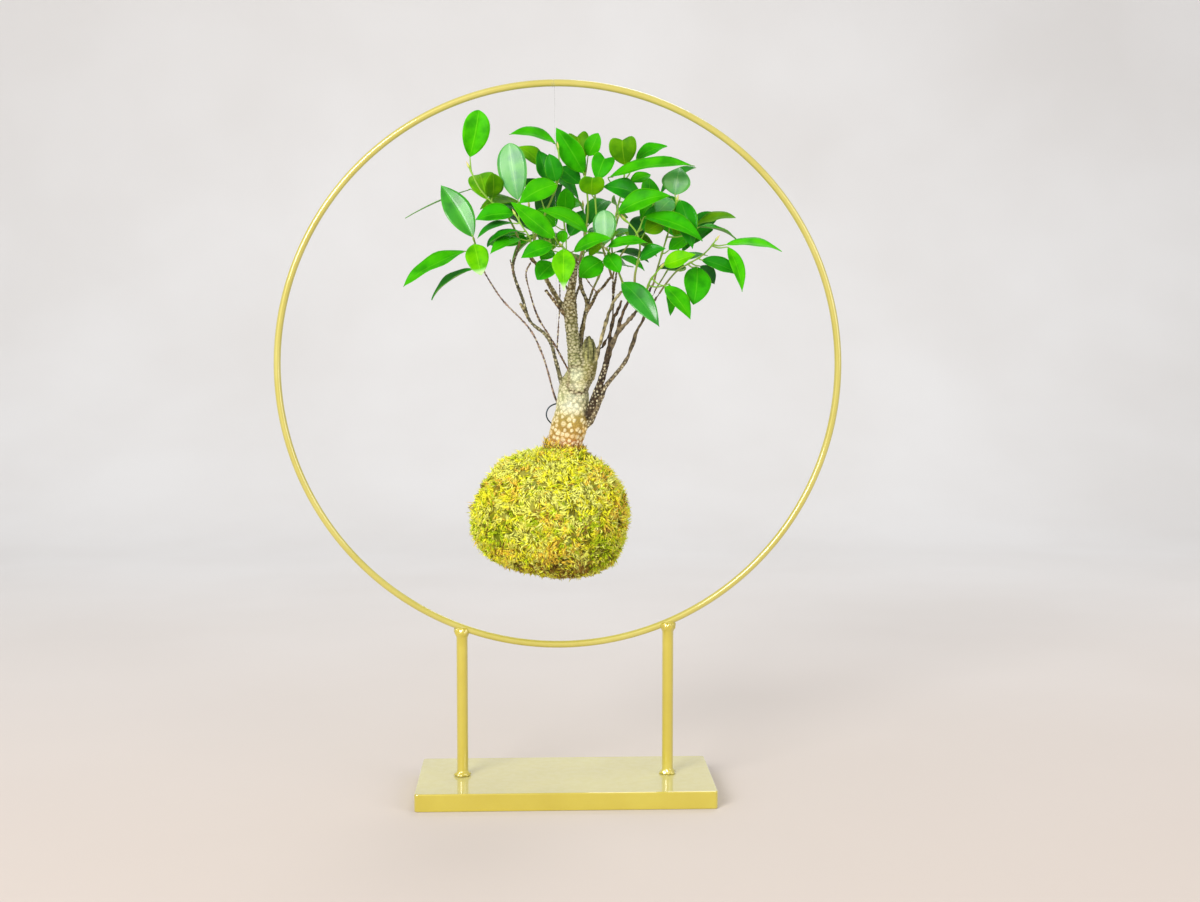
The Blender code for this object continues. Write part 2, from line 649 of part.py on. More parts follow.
def settle_leaves():
    """Every shoot's leaves as (base, tip, width, turn) in metres and degrees, the far shoots' drawn last."""
    settled = {}
    crown = Crown()
    crown.add(tube([seen(LINE_TOP), seen(LINE_FOOT)], [LINE_RADIUS + GAP] * 2, 5))
    for name in BRANCHES:
        path = branch_path(name)
        crown.add(tube(path, tapered(path, BRANCHES[name][0] * MM, BRANCHES[name][1] * MM), 6))
    for name, (branch, places, leaves) in SHOOTS.items():
        settled[name] = [(seen(base), seen(tip), width * MM, turn) for base, tip, width, turn in leaves]
        crown.add(twig_body(branch, places))
        for leaf in settled[name]:
            crown.add(leaf_body(stalk_root(twig_path(branch, places), leaf[0]), *leaf))
    for branch, places, _ in BACK_SHOOTS.values():
        crown.add(twig_body(branch, places), twig_path(branch, places))
    for name, (branch, places, draw) in BACK_SHOOTS.items():
        settled[name] = back_leaves(twig_path(branch, places), draw, crown)
    return settled


def make_shoot(name, branch, places, leaves, green):
    path = twig_path(branch, places)
    bodies = [twig_body(branch, places)]
    for leaf in leaves:
        bodies.append(leaf_body(stalk_root(path, leaf[0]), *leaf))
    return join(name, bodies, green, "MANIFOLD")


def ball_body(scale, sides, relief=0.0):
    """The ball's lumpy form, shrunk about its middle by a scale: its points and faces."""
    middle = seen((550, 514, 0))
    rows = []
    for down, left, right in MOSS_LEVELS:
        a = seen((left, down, 0))
        b = seen((right, down, 0))
        centre = (a + b) / 2
        half = (b - a).length / 2
        row = []
        for k in range(sides):
            angle = 2 * math.pi * k / sides
            across = half * math.cos(angle)
            back = half * MOSS_DEPTH_RATIO * math.sin(angle)
            row.append(centre + Vector((across, back, 0.0)))
        rows.append(row)
    points = [seen((*MOSS_BOTTOM, 0))]
    for row in reversed(rows):
        points.extend(row)
    points.append(seen((*MOSS_TOP, 0)))
    for i, point in enumerate(points):
        offset = point - middle
        ripple = (math.sin(210 * point.x + 90 * point.z) * math.sin(190 * point.y + 1.3)
                  + math.sin(160 * point.z + 2.1) * math.sin(140 * point.x - 110 * point.y))
        points[i] = middle + offset * scale + offset.normalized() * (relief * ripple)
    faces = []
    last = len(points) - 1
    for k in range(sides):
        after = (k + 1) % sides
        faces.append((0, 1 + after, 1 + k))
        for row in range(len(rows) - 1):
            a = 1 + row * sides
            faces.append((a + k, a + after, a + sides + after, a + sides + k))
        top = 1 + (len(rows) - 1) * sides
        faces.append((top + k, top + after, last))
    return points, faces


def make_ball(moss, soil):
    cover = add_object("moss_cover", *ball_body(1.0, 20, MOSS_RELIEF), moss)
    cut(cover, add_object("hollow", *ball_body(MOSS_INNER_SCALE, 14), moss))
    cut(cover, add_object("neck", *trunk_body(TRUNK, 12, GAP * 1.5), moss))
    core = add_object("soil_ball", *ball_body(SOIL_SCALE, 14), soil)
    cut(core, add_object("socket", *trunk_body(TRUNK, 12, GAP * 1.5), soil))


def smooth(points, steps):
    """A smooth curve through the points, read at a few steps between each two."""
    ends = [points[0] * 2 - points[1], *points, points[-1] * 2 - points[-2]]
    path = []
    for a, b, c, d in zip(ends, ends[1:], ends[2:], ends[3:]):
        for i in range(steps):
            t = i / steps
            path.append(0.5 * (2 * b + (c - a) * t + (2 * a - 5 * b + 4 * c - d) * t ** 2
                               + (3 * b - a - 3 * c + d) * t ** 3))
    path.append(points[-1])
    return path


def make_wire(steel):
    """The wire at the trunk's foot: a sling behind the trunk whose slack arc stands out on the left."""
    path = smooth([seen(place) for place in WIRE], 2)
    add_object("trunk_wire", *tube(path, [WIRE_RADIUS] * len(path), 5), steel)


def wound(centre, axis, radius, away, turns):
    """Points of a line wound round a rod, from the side that faces away; its turns lie side by side."""
    away = (away - axis * away.dot(axis)).normalized()
    other = axis.cross(away)
    pitch = LINE_RADIUS * 2 + GAP * 2
    steps = round(turns * 9)
    radius /= math.cos(math.pi * turns / steps)
    path = []
    for i in range(steps + 1):
        turn = 2 * math.pi * turns * i / steps
        path.append(centre + (away * math.cos(turn) + other * math.sin(turn)) * radius
                    + axis * (pitch * turns * i / steps))
    return path


def make_line(nylon):
    """The clear line: wound on the ring's top and on the wire, and straight between them."""
    top = RING_CENTRE + Vector((seen(LINE_TOP).x - RING_CENTRE.x, 0.0, 0.0))
    top.z += (RING_OUTSIDE - RING_ROD) / 2 * math.cos(math.pi / RING_STEPS)
    foot = seen(LINE_FOOT)
    behind = Vector((0.0, 1.0, 0.0))
    across = (seen(WIRE[4]) - seen(WIRE[3])).normalized()
    upper = wound(top, Vector((-1.0, 0.0, 0.0)), RING_ROD / 2 + LINE_RADIUS + GAP, behind, LINE_TURNS)
    lower = wound(foot, across, WIRE_RADIUS + LINE_RADIUS + GAP, behind, LINE_TURNS)
    path = [*reversed(lower), *upper]
    add_object("hanging_line", *tube(path, [LINE_RADIUS] * len(path), 6), nylon)


def main():
    clear_scene()
    gold = material("gold_paint", (0.74, 0.60, 0.12), 0.3, 0.35)
    bark = material("bark", (0.50, 0.44, 0.24), 0.8)
    green = material("leaf", (0.10, 0.42, 0.02), 0.35)
    moss = material("moss", (0.50, 0.48, 0.06), 0.95)
    soil = material("soil", (0.12, 0.08, 0.05), 0.95)
    steel = material("dark_wire", (0.10, 0.12, 0.14), 0.4, 0.8)
    nylon = material("clear_line", (0.85, 0.87, 0.88), 0.2)
    make_plate(gold)
    make_post("post_left", -POST_SPACING / 2, gold)
    make_post("post_right", POST_SPACING / 2, gold)
    add_object("ring", *ring_body(RING_ROD / 2, RING_STEPS, 8), gold)
    make_ball(moss, soil)
    make_trunk(bark)
    make_wire(steel)
    make_line(nylon)
    settled = settle_leaves()
    for name, (branch, places, _) in {**SHOOTS, **BACK_SHOOTS}.items():
        make_shoot(name, branch, places, settled[name], green)


main()
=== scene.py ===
"""A kokedama bonsai in its ring stand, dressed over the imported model.

Metres, +Z up, and the front looks along +Y. Each piece stands where its solids are, read from the same front
view, with finer forms and procedural materials.
"""
import math
import random

import bpy
import numpy as np
from mathutils import Matrix, Vector, noise
from mathutils.bvhtree import BVHTree
from mathutils.kdtree import KDTree

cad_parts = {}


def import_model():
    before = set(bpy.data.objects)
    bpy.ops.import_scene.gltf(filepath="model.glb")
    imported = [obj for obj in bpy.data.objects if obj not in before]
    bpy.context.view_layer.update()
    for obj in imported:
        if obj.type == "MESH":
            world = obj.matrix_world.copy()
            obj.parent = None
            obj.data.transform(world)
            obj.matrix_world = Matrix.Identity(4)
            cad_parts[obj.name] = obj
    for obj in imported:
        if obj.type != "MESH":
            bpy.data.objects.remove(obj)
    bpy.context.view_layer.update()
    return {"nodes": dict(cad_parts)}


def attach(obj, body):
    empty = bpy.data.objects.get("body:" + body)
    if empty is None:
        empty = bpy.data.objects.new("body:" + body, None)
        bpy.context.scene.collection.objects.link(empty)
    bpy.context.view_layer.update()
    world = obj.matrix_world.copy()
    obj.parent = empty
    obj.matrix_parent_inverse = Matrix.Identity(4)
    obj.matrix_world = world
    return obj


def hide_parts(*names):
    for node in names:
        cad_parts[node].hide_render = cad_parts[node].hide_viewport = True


MM = 0.001
# Seed of the vector noise, which otherwise differs from run to run
NOISE_DRAW = 4

# Stand
RING_OUTSIDE = 0.400
RING_ROD = 0.005
RING_CENTRE = Vector((-0.0037, 0.0, 0.3043))
RING_STEPS = 288
RING_SIDES = 20
POST_ROD = 0.008
POST_SPACING = 0.1467
POST_SIDES = 48
PLATE_THICKNESS = 0.0125
FOOT_BEAD = 0.0028
TOP_BEAD = 0.0060

# Between pieces that are near each other without touching
GAP = 0.0003

# Plant and moss ball
MOSS_DEPTH_RATIO = 0.97
LEAF_THICKNESS = 0.0008
STALK_RADIUS = 0.00065
LEAF_FOLD = math.radians(17)
LEAF_ARCH = 0.07
# Outline of a leaf blade: how far along it and how wide, as shares of its length and width
BLADE = ((0.0, 0.07), (0.2, 0.72), (0.5, 1.0), (0.8, 0.68), (1.0, 0.06))
TWIG_TIP_RADIUS = 0.0006
LINE_RADIUS = 0.0003
WIRE_RADIUS = 0.0005

# The plant's places are read in one front view. A place there is (across, down, depth): the first two in the
# view's own units, which are 0.704 mm at the ring, and the depth in millimetres behind the ring.
EYE = Vector((-0.0202, -1.1292, 0.3220))
EYE_TURN = math.radians(2.286)
EYE_TILT = math.radians(-3.908)
VIEW_RANGE = 1600.0
VIEW_MIDDLE = (600.0, 451.0)
VIEW_UNIT = 0.000704


def view_axes():
    """The front view's directions: right, up and forward."""
    forward = Vector((math.sin(EYE_TURN) * math.cos(EYE_TILT), math.cos(EYE_TURN) * math.cos(EYE_TILT),
                      math.sin(EYE_TILT)))
    right = Vector((math.cos(EYE_TURN), -math.sin(EYE_TURN), 0.0))
    return right, right.cross(forward), forward


def seen(place):
    """The point in metres for a place in the front view."""
    across, down, depth = place
    right, up, forward = view_axes()
    ray = forward * VIEW_RANGE + right * (across - VIEW_MIDDLE[0]) + up * (VIEW_MIDDLE[1] - down)
    return EYE + ray * ((depth * MM - EYE.y) / ray.y)


# Trunk: places down its middle with the radius in view units
TRUNK = (
    ((558, 503, 0), 5), ((560, 484, 0), 11), ((562, 464, 0), 15), ((564, 447, 0), 16.5),
    ((566.5, 436, 0), 17.2), ((570, 424, 0), 17.8), ((572.5, 412, 0), 16.8), ((573, 400, 0), 15.5),
    ((574, 388, 0), 14.5), ((577.5, 380, 0), 14), ((583, 372, 0), 13), ((586.5, 364, 0), 10.7),
    ((588.3, 354, 0), 9.5), ((589, 345, 0), 6.8), ((588.8, 339.5, 0), 4.0), ((588.6, 336.3, 0), 1.2))
LEADER = (
    ((577, 392, 0), 11), ((576.5, 380, -1), 9), ((576, 370, -2), 7.8), ((575, 361, -2.5), 7.0),
    ((574, 350, -2), 6.4), ((572.8, 338, -1), 6.2), ((571.3, 322, 0), 6.3), ((570, 306, 0), 6.8),
    ((570.8, 292, 0), 4.4), ((573.5, 277, 0), 3.4), ((576, 262, 0), 2.6))

# Branches: the radius in millimetres at the root and at the tip, the wood's colour, then places
BRANCHES = {
    "a": (0.8, 0.6, (142, 118, 104), (
        (566, 412, 4), (556, 400, 6), (548, 372, 8), (541, 351, 9), (529, 328, 11), (505, 303, 13),
        (494, 288, 14), (483, 270, 14))),
    "b": (1.5, 0.9, (98, 94, 66), (
        (569, 397, -2), (562.5, 386, -3), (558.5, 371, -4), (555, 358, -5), (551.5, 345, -5),
        (545, 334, -5), (530, 321, -6), (523, 300, -7), (513, 270, -8), (518, 249, -8))),
    "b_stub": (1.0, 0.85, (146, 134, 92), ((528, 318, -6), (524, 310, -8), (520, 303, -9))),
    "b_side": (0.6, 0.5, (120, 96, 76), ((513, 272, -8), (510, 259, -9))),
    "c": (0.85, 0.55, (100, 78, 60), (
        (573, 379, -6), (557, 349, -10), (548, 334, -13), (537, 315, -16), (529, 289, -19),
        (526, 273, -20), (531, 262, -21))),
    "d": (0.6, 0.5, (108, 84, 68), ((557, 350, -10), (558.5, 325, -3), (560, 303, 7), (559.5, 283, 9))),
    "e": (1.9, 1.2, (130, 116, 74), (
        (568, 313, 0), (559, 301, 2), (550, 286, 4), (541, 270, 6), (531, 258, 7))),
    "e_stub": (1.25, 1.1, (104, 84, 54), ((566, 317, -2), (555, 302, -4), (545.5, 290, -5))),
    "e_back": (1.0, 0.7, (110, 92, 64), ((550, 286, 4), (547, 278, 16), (543, 266, 26), (540, 255, 32))),
    "f": (1.7, 1.2, (136, 122, 82), (
        (577, 352, 3), (580, 338, 6), (584, 320, 9), (587, 303, 11), (582, 290, 13), (580, 277, 14),
        (580, 262, 16))),
    "f_right": (1.3, 1.0, (124, 106, 74), (
        (585, 315, 10), (592, 303, 10), (597, 293, 11), (603, 287, 12), (609, 279, 13))),
    "f_twig": (0.55, 0.5, (124, 94, 76), ((597, 293, 11), (590, 284, 10), (585, 277, 9))),
    "g": (1.7, 1.0, (160, 148, 108), (
        (588, 376, -2), (596, 357, -4), (600, 344, -5), (606, 322, -6), (613, 303, -7), (622, 291, -6))),
    "g_dark": (0.9, 0.7, (88, 70, 50), (
        (597, 353, -3), (604, 344, 0), (610, 332, 2), (613, 310, 3), (613, 295, 3), (613, 280, 2))),
    "g_back": (0.9, 0.75, (104, 86, 62), ((613, 303, 3), (614, 290, 14), (616, 276, 26), (618, 262, 34))),
    "h": (3.2, 1.7, (64, 50, 32), (
        (580, 428, -3), (589, 412, -7), (596, 394, -11), (601, 381, -13), (606, 364, -15),
        (609.3, 348, -14.5), (610.5, 337, -13))),
    "h_fork": (1.6, 1.4, (116, 102, 76), (
        (606.5, 362, -15), (612.5, 344, -15), (618, 331, -15), (620, 328, -15))),
    "h_left": (1.3, 1.0, (92, 73, 50), (
        (618, 332, -15), (621, 318, -15), (626, 306, -14), (633, 290, -14))),
    "h_right": (1.6, 1.1, (122, 108, 82), (
        (618, 332, -15), (628, 321, -15), (636, 312, -14), (641, 304, -13))),
    "h_middle": (1.5, 0.8, (74, 58, 38), (
        (610, 342, -14), (611, 330, -12), (613, 320, -11), (618, 310, -11), (622, 300, -12))),
    "h_top": (1.0, 0.8, (108, 92, 68), ((634, 314, -14), (643, 302, -6), (652, 286, 0))),
    "i": (1.9, 0.75, (116, 102, 76), (
        (581, 431, -4), (590.5, 422, -7), (597, 408, -9), (602, 396, -11), (606, 386, -11), (614, 376, -8),
        (625, 362, -4), (632, 346, 0), (638, 329, 2), (649, 309, 4), (659, 294, 6))),
    "i_back": (0.8, 0.6, (118, 100, 82), ((645, 316, 3), (649, 304, 14), (655, 291, 22))),
    "k": (1.5, 0.9, (112, 96, 66), ((571, 328, 2), (572, 312, 14), (575, 298, 26), (580, 285, 36))),
    "k_left": (0.9, 0.7, (112, 96, 68), ((574, 302, 22), (566, 286, 33), (558, 270, 40))),
    "m": (1.5, 0.9, (116, 100, 70), (
        (581, 374, 5), (582, 355, 14), (582, 338, 22), (584, 320, 31), (588, 304, 38), (592, 292, 43))),
}

# Leafy shoots: the branch whose tip carries the shoot, the places of its twig, and its leaves.
# A leaf is (base, tip, width in millimetres, turn in degrees, look): turned 0 it faces the front, and a larger
# turn lifts its face towards the sky. Of its look the first letter is the colour and the second the outline:
# e runs out to a point, s does too and is slim, r is round at its end, d is round with a drip tip, t has a long
# drip tip, and h is heart-shaped.
SHOOTS = {
    "shoot_left_top": ("b", (
        (519, 240, -8), (513, 226, -7), (505, 213, -5), (496, 206, -3), (480, 189, -1), (469, 167, 0)), (
        ((470, 157, 0), (479, 110, -4), 20, 10, "ur"), ((486, 199, -1), (479, 173, 16), 20, 0, "or"),
        ((492, 198, -4), (493, 174, -18), 14, 20, "kr"), ((471, 189, 15), (405, 218, 22), 13, 84, "pe"))),
    "shoot_left_low": ("a", (
        (480, 258, 12), (476, 246, 8), (474, 240, 4)), (
        ((473, 237, 1), (441, 185, 12), 21, 10.5, "qe"), ((465, 251, 12), (402, 284, 2), 18, 50, "be"),
        ((474, 244, 0), (481, 275, -10), 17, 0, "yd"), ((472, 269, 15), (430, 298, 18), 15, 70, "de"))),
    "shoot_left_middle": ("c", (
        (532, 250, -22), (530, 238, -23), (522, 226, -23), (515, 214, -20)), (
        ((514, 214, -18), (475, 219, -20), 18, 40, "ge"), ((513, 223, -22), (477, 237, -26), 15, 68, "de"),
        ((519, 231, -26), (489, 242, -32), 14, 70, "de"), ((521, 239, -28), (490, 252, -38), 15, 55, "ge"),
        ((518, 200, -14), (509, 143, -10), 21, -13, "pr"))),
    "shoot_behind_front": ("d", (
        (563, 272, 13), (566, 258, 17), (566, 240, 20), (564, 222, 21)), (
        ((556, 226, 19), (538, 209, 15), 15, 20, "gd"), ((570, 236, 24), (583, 210, 30), 15, 20, "de"),
        ((564, 214, 20), (566, 188, 17), 15, 20, "gd"))),
    "shoot_front": ("leader", (
        (572, 254, -8), (566, 250, -18), (561, 245, -29)), (
        ((564, 249, -36), (564, 290, -45), 17, 0, "yt"),
        ((555, 238, -37), (511.5, 202, -46), 15, 20, "be"),
        ((553, 245, -28), (521, 257, -31), 15, 35, "ge"), ((563, 243, -28), (562, 230, -22), 8, 0, "bd"),
        ((553, 263, -8), (537, 279, -13), 16, 20, "gd"), ((553, 251, -17), (541, 259, -22), 12, 30, "gd"),
        ((574, 251, -17), (610, 237, -32), 16, 48, "be"))),
    "shoot_left_fork": ("e", (
        (532, 247, 7), (537, 232, 5), (545, 214, 1), (552, 198, -3), (558, 180, -6), (559, 160, -7),
        (558, 148, -7)), (
        ((556, 144, -8), (509.5, 133, -12), 16, 55, "be"), ((547, 181, 0), (538.5, 150, -2), 17, 35, "de"),
        ((556, 182, -10), (549, 154, -15), 14, 15, "dd"), ((557, 184, -13), (519, 203, -24), 17, 15, "be"),
        ((542, 166, 10), (518, 146, 14), 14, 30, "oe"), ((541, 198, 6), (526, 178, 10), 13, 20, "de"))),
    "shoot_top": ("f", (
        (583, 248, 16), (586, 230, 15), (588, 210, 12), (587, 192, 9), (585, 180, 6), (585, 170, 6)), (
        ((584, 173, 4), (556, 128, -2), 18, -20, "ge"), ((581, 163, 14), (576, 130, 18), 16, 0, "kh"),
        ((588, 156, 3), (598, 133, -1), 13, 20, "bd"), ((580, 184, 14), (559, 166, 20), 14, 20, "de"))),
    "shoot_top_middle": ("f_right", (
        (607, 262, 10), (602, 245, 3), (598, 228, -4), (596, 210, -8), (595, 192, -10), (596, 183, -11)), (
        ((597, 180, -12), (607, 153, -8), 16, 0, "gh"), ((592, 195, -14), (593, 174, -26), 18, 0, "oh"),
        ((588, 232, -17), (541, 209.5, -35), 15, 40, "be"),
        ((605, 244, -12), (604, 210, -9), 17, -17, "pr"))),
    "shoot_top_right": ("g_dark", (
        (614, 268, 0), (612, 250, 0), (612, 232, 0), (616, 214, 0), (621, 194, -1), (625, 172, -2)), (
        ((625, 165, -2), (622, 134, -8), 20, 0, "kh"), ((636, 160, 4), (667, 145, 8), 13, 40, "ge"),
        ((608, 178, -12), (694, 163, -30), 17, 55, "be"), ((640, 195, -8), (604, 186, -20), 16, 15, "de"),
        ((630, 182, 4), (651, 174, 10), 10, 30, "be"))),
    "shoot_middle": ("g", (
        (622, 281, -8), (617, 268, -11), (612, 256, -14), (607, 250, -18)), (
        ((622, 282, -16), (659, 326, -38), 17, 10, "we"), ((607, 247, -24), (648, 242, -30), 11, 45, "be"),
        ((607, 254, -14), (620, 272, -22), 13, 10, "gd"), ((620, 257, -8), (645, 270, -8), 12, 60, "ge"),
        ((602, 261, -13), (580, 277, -20), 17, 10, "gd"))),
    "shoot_right_middle": ("h_left", (
        (635, 275, -15), (638, 260, -16), (640, 246, -17), (636, 232, -18), (625, 219, -19)), (
        ((618, 213, -21), (669, 194, -32), 17, 30, "be"), ((644, 217, -20), (703, 239, -30), 16, 35, "ge"),
        ((640, 260, -22), (665, 248, -28), 13, 40, "de"), ((645, 232, -12), (664, 222, -8), 14, 20, "kd"))),
    "shoot_right_top": ("h_top", (
        (657, 270, 3), (663, 250, 2), (669, 230, -2), (674, 212, -6), (677, 200, -8)), (
        ((680, 200, -8), (692, 248, -18), 22, -15, "ds"), ((675, 195, -8), (680, 167, -8), 21, -18, "pe"),
        ((672, 199, -5), (657, 214, -17), 15, 21, "pe"), ((669, 250, 6), (690, 235, 14), 15, 20, "gs"),
        ((699, 227, 4), (738, 239, 12), 13, 78, "ge"))),
    "shoot_right_low": ("h_right", (
        (646, 293, -11), (650, 281, -14), (656, 273, -18), (661, 267, -22)), (
        ((664, 265, -24), (695, 254, -32), 18, 30, "ls"), ((665, 286, -24), (691, 318, -34), 15, 30, "be"),
        ((669, 284, -10), (671, 316, -6), 13, 40, "gs"))),
    "shoot_right_tip": ("i", (
        (668, 281, 4), (678, 270, 2), (688, 264, 0), (700, 257, -2), (709, 249, -3), (716, 240, -3)), (
        ((726, 244.5, -4), (782, 249, -10), 15, 62, "ue"), ((728, 247, -6), (743, 291, -14), 14, 20, "us"),
        ((702, 260, -3), (740, 275, -6), 16, 30, "ds"), ((700, 266, 4), (715, 284, 8), 12, 30, "ne"),
        ((697, 267, -11), (694, 304, -24), 20, 5, "gd"), ((686, 268, 10), (657, 268, 14), 13, 50, "ne"))),
}

# Shoots of the crown's far side: the carrying branch, the twig's places, and the draw that places its leaves
BACK_SHOOTS = {
    "shoot_back_middle": ("k", ((582, 268, 42), (584, 248, 47), (584, 228, 50), (583, 206, 50)), 3),
    "shoot_back_left": ("k_left", ((553, 254, 44), (549, 234, 48), (547, 212, 48)), 5),
    "shoot_back_right": ("m", ((600, 274, 48), (607, 256, 52), (613, 238, 53), (618, 218, 52)), 7),
    "shoot_far_left": ("e_back", ((535, 240, 36), (531, 224, 38), (529, 206, 36)), 9),
    "shoot_far_right": ("g_back", ((626, 248, 37), (637, 234, 39), (648, 216, 38), (655, 200, 36)), 11),
    "shoot_right_back": ("i_back", ((664, 276, 26), (673, 260, 28), (681, 244, 28), (686, 228, 25)), 13),
}
BACK_LEAVES = 6
DRAWS = 160
CROWN_MIDDLE = Vector((0.015, 0.010, 0.395))
CROWN_FLOOR = 0.378

# The wire behind the trunk, and the hanging line from the ring's top to the wire
WIRE = (
    (584.5, 402, 8.4), (579, 401.5, 11.0), (572, 401, 11.9), (564, 402, 11.2), (556.5, 403.5, 10),
    (550, 406.5, 8), (547, 411, 7), (546.5, 416, 7), (549, 421, 8), (554, 425, 10.2), (561, 427, 12.3),
    (569, 428, 13.5), (578, 428, 12.4), (585, 427, 9.3))
LINE_TOP = (554.5, 84, 0)
LINE_FOOT = (557.5, 403.3, 10.2)
LINE_TURNS = 1.5

# Outline of the moss ball: at each height, the left and the right side in the front view
MOSS_LEVELS = (
    (446, 545, 584), (449, 533, 586.5), (453, 517, 588), (459, 504, 598), (466, 495, 607.5),
    (475, 487, 616), (486, 481, 622.5), (498, 475, 627), (511, 471, 629), (524, 471, 629),
    (537, 473, 626), (548, 479, 623), (557, 488, 619), (564, 500, 614), (570, 516, 606), (575, 540, 593))
MOSS_TOP = (565, 441)
MOSS_BOTTOM = (568, 577.5)
MOSS_HEART = (550, 514, 0)
MOSS_COLLAR = (565, 446, 0)


def walls(rows, sides):
    """The faces between round rows of points that follow each other."""
    faces = []
    for i in range(rows - 1):
        for k in range(sides):
            a = i * sides + k
            b = i * sides + (k + 1) % sides
            faces.append((a, b, b + sides, a + sides))
    return faces


def ends(rows, sides):
    """The faces that close the first and the last round row."""
    return [tuple(reversed(range(sides))), tuple(range((rows - 1) * sides, rows * sides))]


def circle(sides):
    """The cosine and the sine of each angle round a circle."""
    turns = [2 * math.pi * k / sides for k in range(sides)]
    return [(math.cos(turn), math.sin(turn)) for turn in turns]


def tube(path, radii, sides):
    """A round body along a path, with flat ends: its points and faces."""
    points = []
    side = None
    for i, centre in enumerate(path):
        along = (path[min(i + 1, len(path) - 1)] - path[max(i - 1, 0)]).normalized()
        if side is None:
            side = along.cross(Vector((0.0, 1.0, 0.0)))
            if side.length < 0.2:
                side = along.cross(Vector((1.0, 0.0, 0.0)))
        side = (side - along * side.dot(along)).normalized()
        other = along.cross(side)
        points.extend(centre + (side * c + other * s) * radii[i] for c, s in circle(sides))
    return points, walls(len(path), sides) + ends(len(path), sides)


def travels(path):
    """How far along its path each point is."""
    lengths = [0.0]
    for a, b in zip(path, path[1:]):
        lengths.append(lengths[-1] + (b - a).length)
    return lengths


def tapered(path, root, tip):
    """Radii that run evenly from the root's to the tip's along a path."""
    lengths = travels(path)
    return [root + (tip - root) * s / lengths[-1] for s in lengths]


def branch_path(name):
    if name == "leader":
        return [seen(place) for place, _ in LEADER]
    return [seen(place) for place in BRANCHES[name][3]]


def tip_radius(name):
    if name == "leader":
        return LEADER[-1][1] * VIEW_UNIT
    return BRANCHES[name][1] * MM


def leaf_frame(base, tip, turn):
    """The blade's direction, its sideways direction and its face's direction."""
    along = (tip - base).normalized()
    facing = Vector((0.0, -1.0, 0.0))
    facing = facing - along * facing.dot(along)
    if facing.length < 0.25:
        facing = Vector((0.0, 0.0, 1.0)) - along * along.z
    facing.normalize()
    lift = facing.cross(along)
    if lift.z + 0.3 * lift.x < 0:
        lift.negate()
    angle = math.radians(turn)
    face = facing * math.cos(angle) + lift * math.sin(angle)
    return along, face.cross(along), face


def leaf_body(root, base, tip, width, turn, thickness=LEAF_THICKNESS):
    """A leaf with its stalk, as one thin body from its root on the twig to its tip."""
    along, side, face = leaf_frame(base, tip, turn)
    length = (tip - base).length
    stalk = (base - root).normalized()
    stalk_face = (face - stalk * face.dot(stalk)).normalized()
    stalk_side = stalk_face.cross(stalk)
    narrow = ((1, 1), (-1, 1), (-1, -1), (1, -1))
    broad = ((1, 1), (0, 1), (-1, 1), (-1, -1), (0, -1), (1, -1))
    foot = STALK_RADIUS * 0.7
    rows = [[root + (stalk_side * across + stalk_face * out) * foot for across, out in narrow]]
    for share, wide in BLADE:
        arch = LEAF_ARCH * length * 4 * share * (1 - share)
        centre = base + along * (length * share) + face * arch
        reach = max(wide * width / 2, STALK_RADIUS)
        spread = side * (reach * math.cos(LEAF_FOLD))
        rise = face * (reach * math.sin(LEAF_FOLD))
        row = []
        for across, out in (broad if wide > 0.3 else narrow):
            lifted = rise if across and wide > 0.3 else Vector()
            row.append(centre + spread * across + lifted + face * (out * thickness / 2))
        rows.append(row)
    return skin(rows)


# How a four-point row meets a six-point row: corners of each face, as (row, place in the row)
WIDENING = (
    ((0, 0), (0, 1), (1, 1)), ((0, 0), (1, 1), (1, 0)), ((0, 1), (1, 2), (1, 1)),
    ((0, 1), (0, 2), (1, 3), (1, 2)), ((0, 2), (0, 3), (1, 4)), ((0, 2), (1, 4), (1, 3)),
    ((0, 3), (1, 5), (1, 4)), ((0, 3), (0, 0), (1, 0), (1, 5)))


def skin(rows):
    """A closed body through rows of four or six points each: its points and faces."""
    points = [point for row in rows for point in row]
    faces = [tuple(reversed(range(len(rows[0]))))]
    first = 0
    for row, after in zip(rows, rows[1:]):
        second = first + len(row)
        if len(row) == len(after):
            for k in range(len(row)):
                turned = (k + 1) % len(row)
                faces.append((first + k, first + turned, second + turned, second + k))
        elif len(row) < len(after):
            for corners in WIDENING:
                faces.append(tuple((first, second)[which] + place for which, place in corners))
        else:
            for corners in WIDENING:
                faces.append(tuple((second, first)[which] + place for which, place in reversed(corners)))
        first = second
    faces.append(tuple(range(first, len(points))))
    return points, faces


def twig_path(branch, places):
    """A twig's points: it starts just past its branch's tip, in line with it."""
    before, end = branch_path(branch)[-2:]
    along = (end - before).normalized()
    start = end + along * GAP
    return [start, start + along * 0.0025] + [seen(place) for place in places]


def stalk_root(path, base):
    """Where a leaf's stalk leaves its twig: a little before the twig's nearest point."""
    best = None
    travelled = 0.0
    for a, b in zip(path, path[1:]):
        step = b - a
        share = max(0.0, min(1.0, (base - a).dot(step) / step.length_squared))
        near = a + step * share
        distance = (base - near).length
        if best is None or distance < best[0]:
            best = (distance, travelled + step.length * share)
        travelled += step.length
    return point_on(path, max(0.003, min(best[1] - best[0] * 0.5, travelled - 0.0008)))[0]


def point_on(path, place):
    """The point a given way along a path, and the path's direction there."""
    for a, b in zip(path, path[1:]):
        reach = (b - a).length
        if place <= reach:
            return a + (b - a) * (place / reach), (b - a).normalized()
        place -= reach
    return path[-1], (path[-1] - path[-2]).normalized()


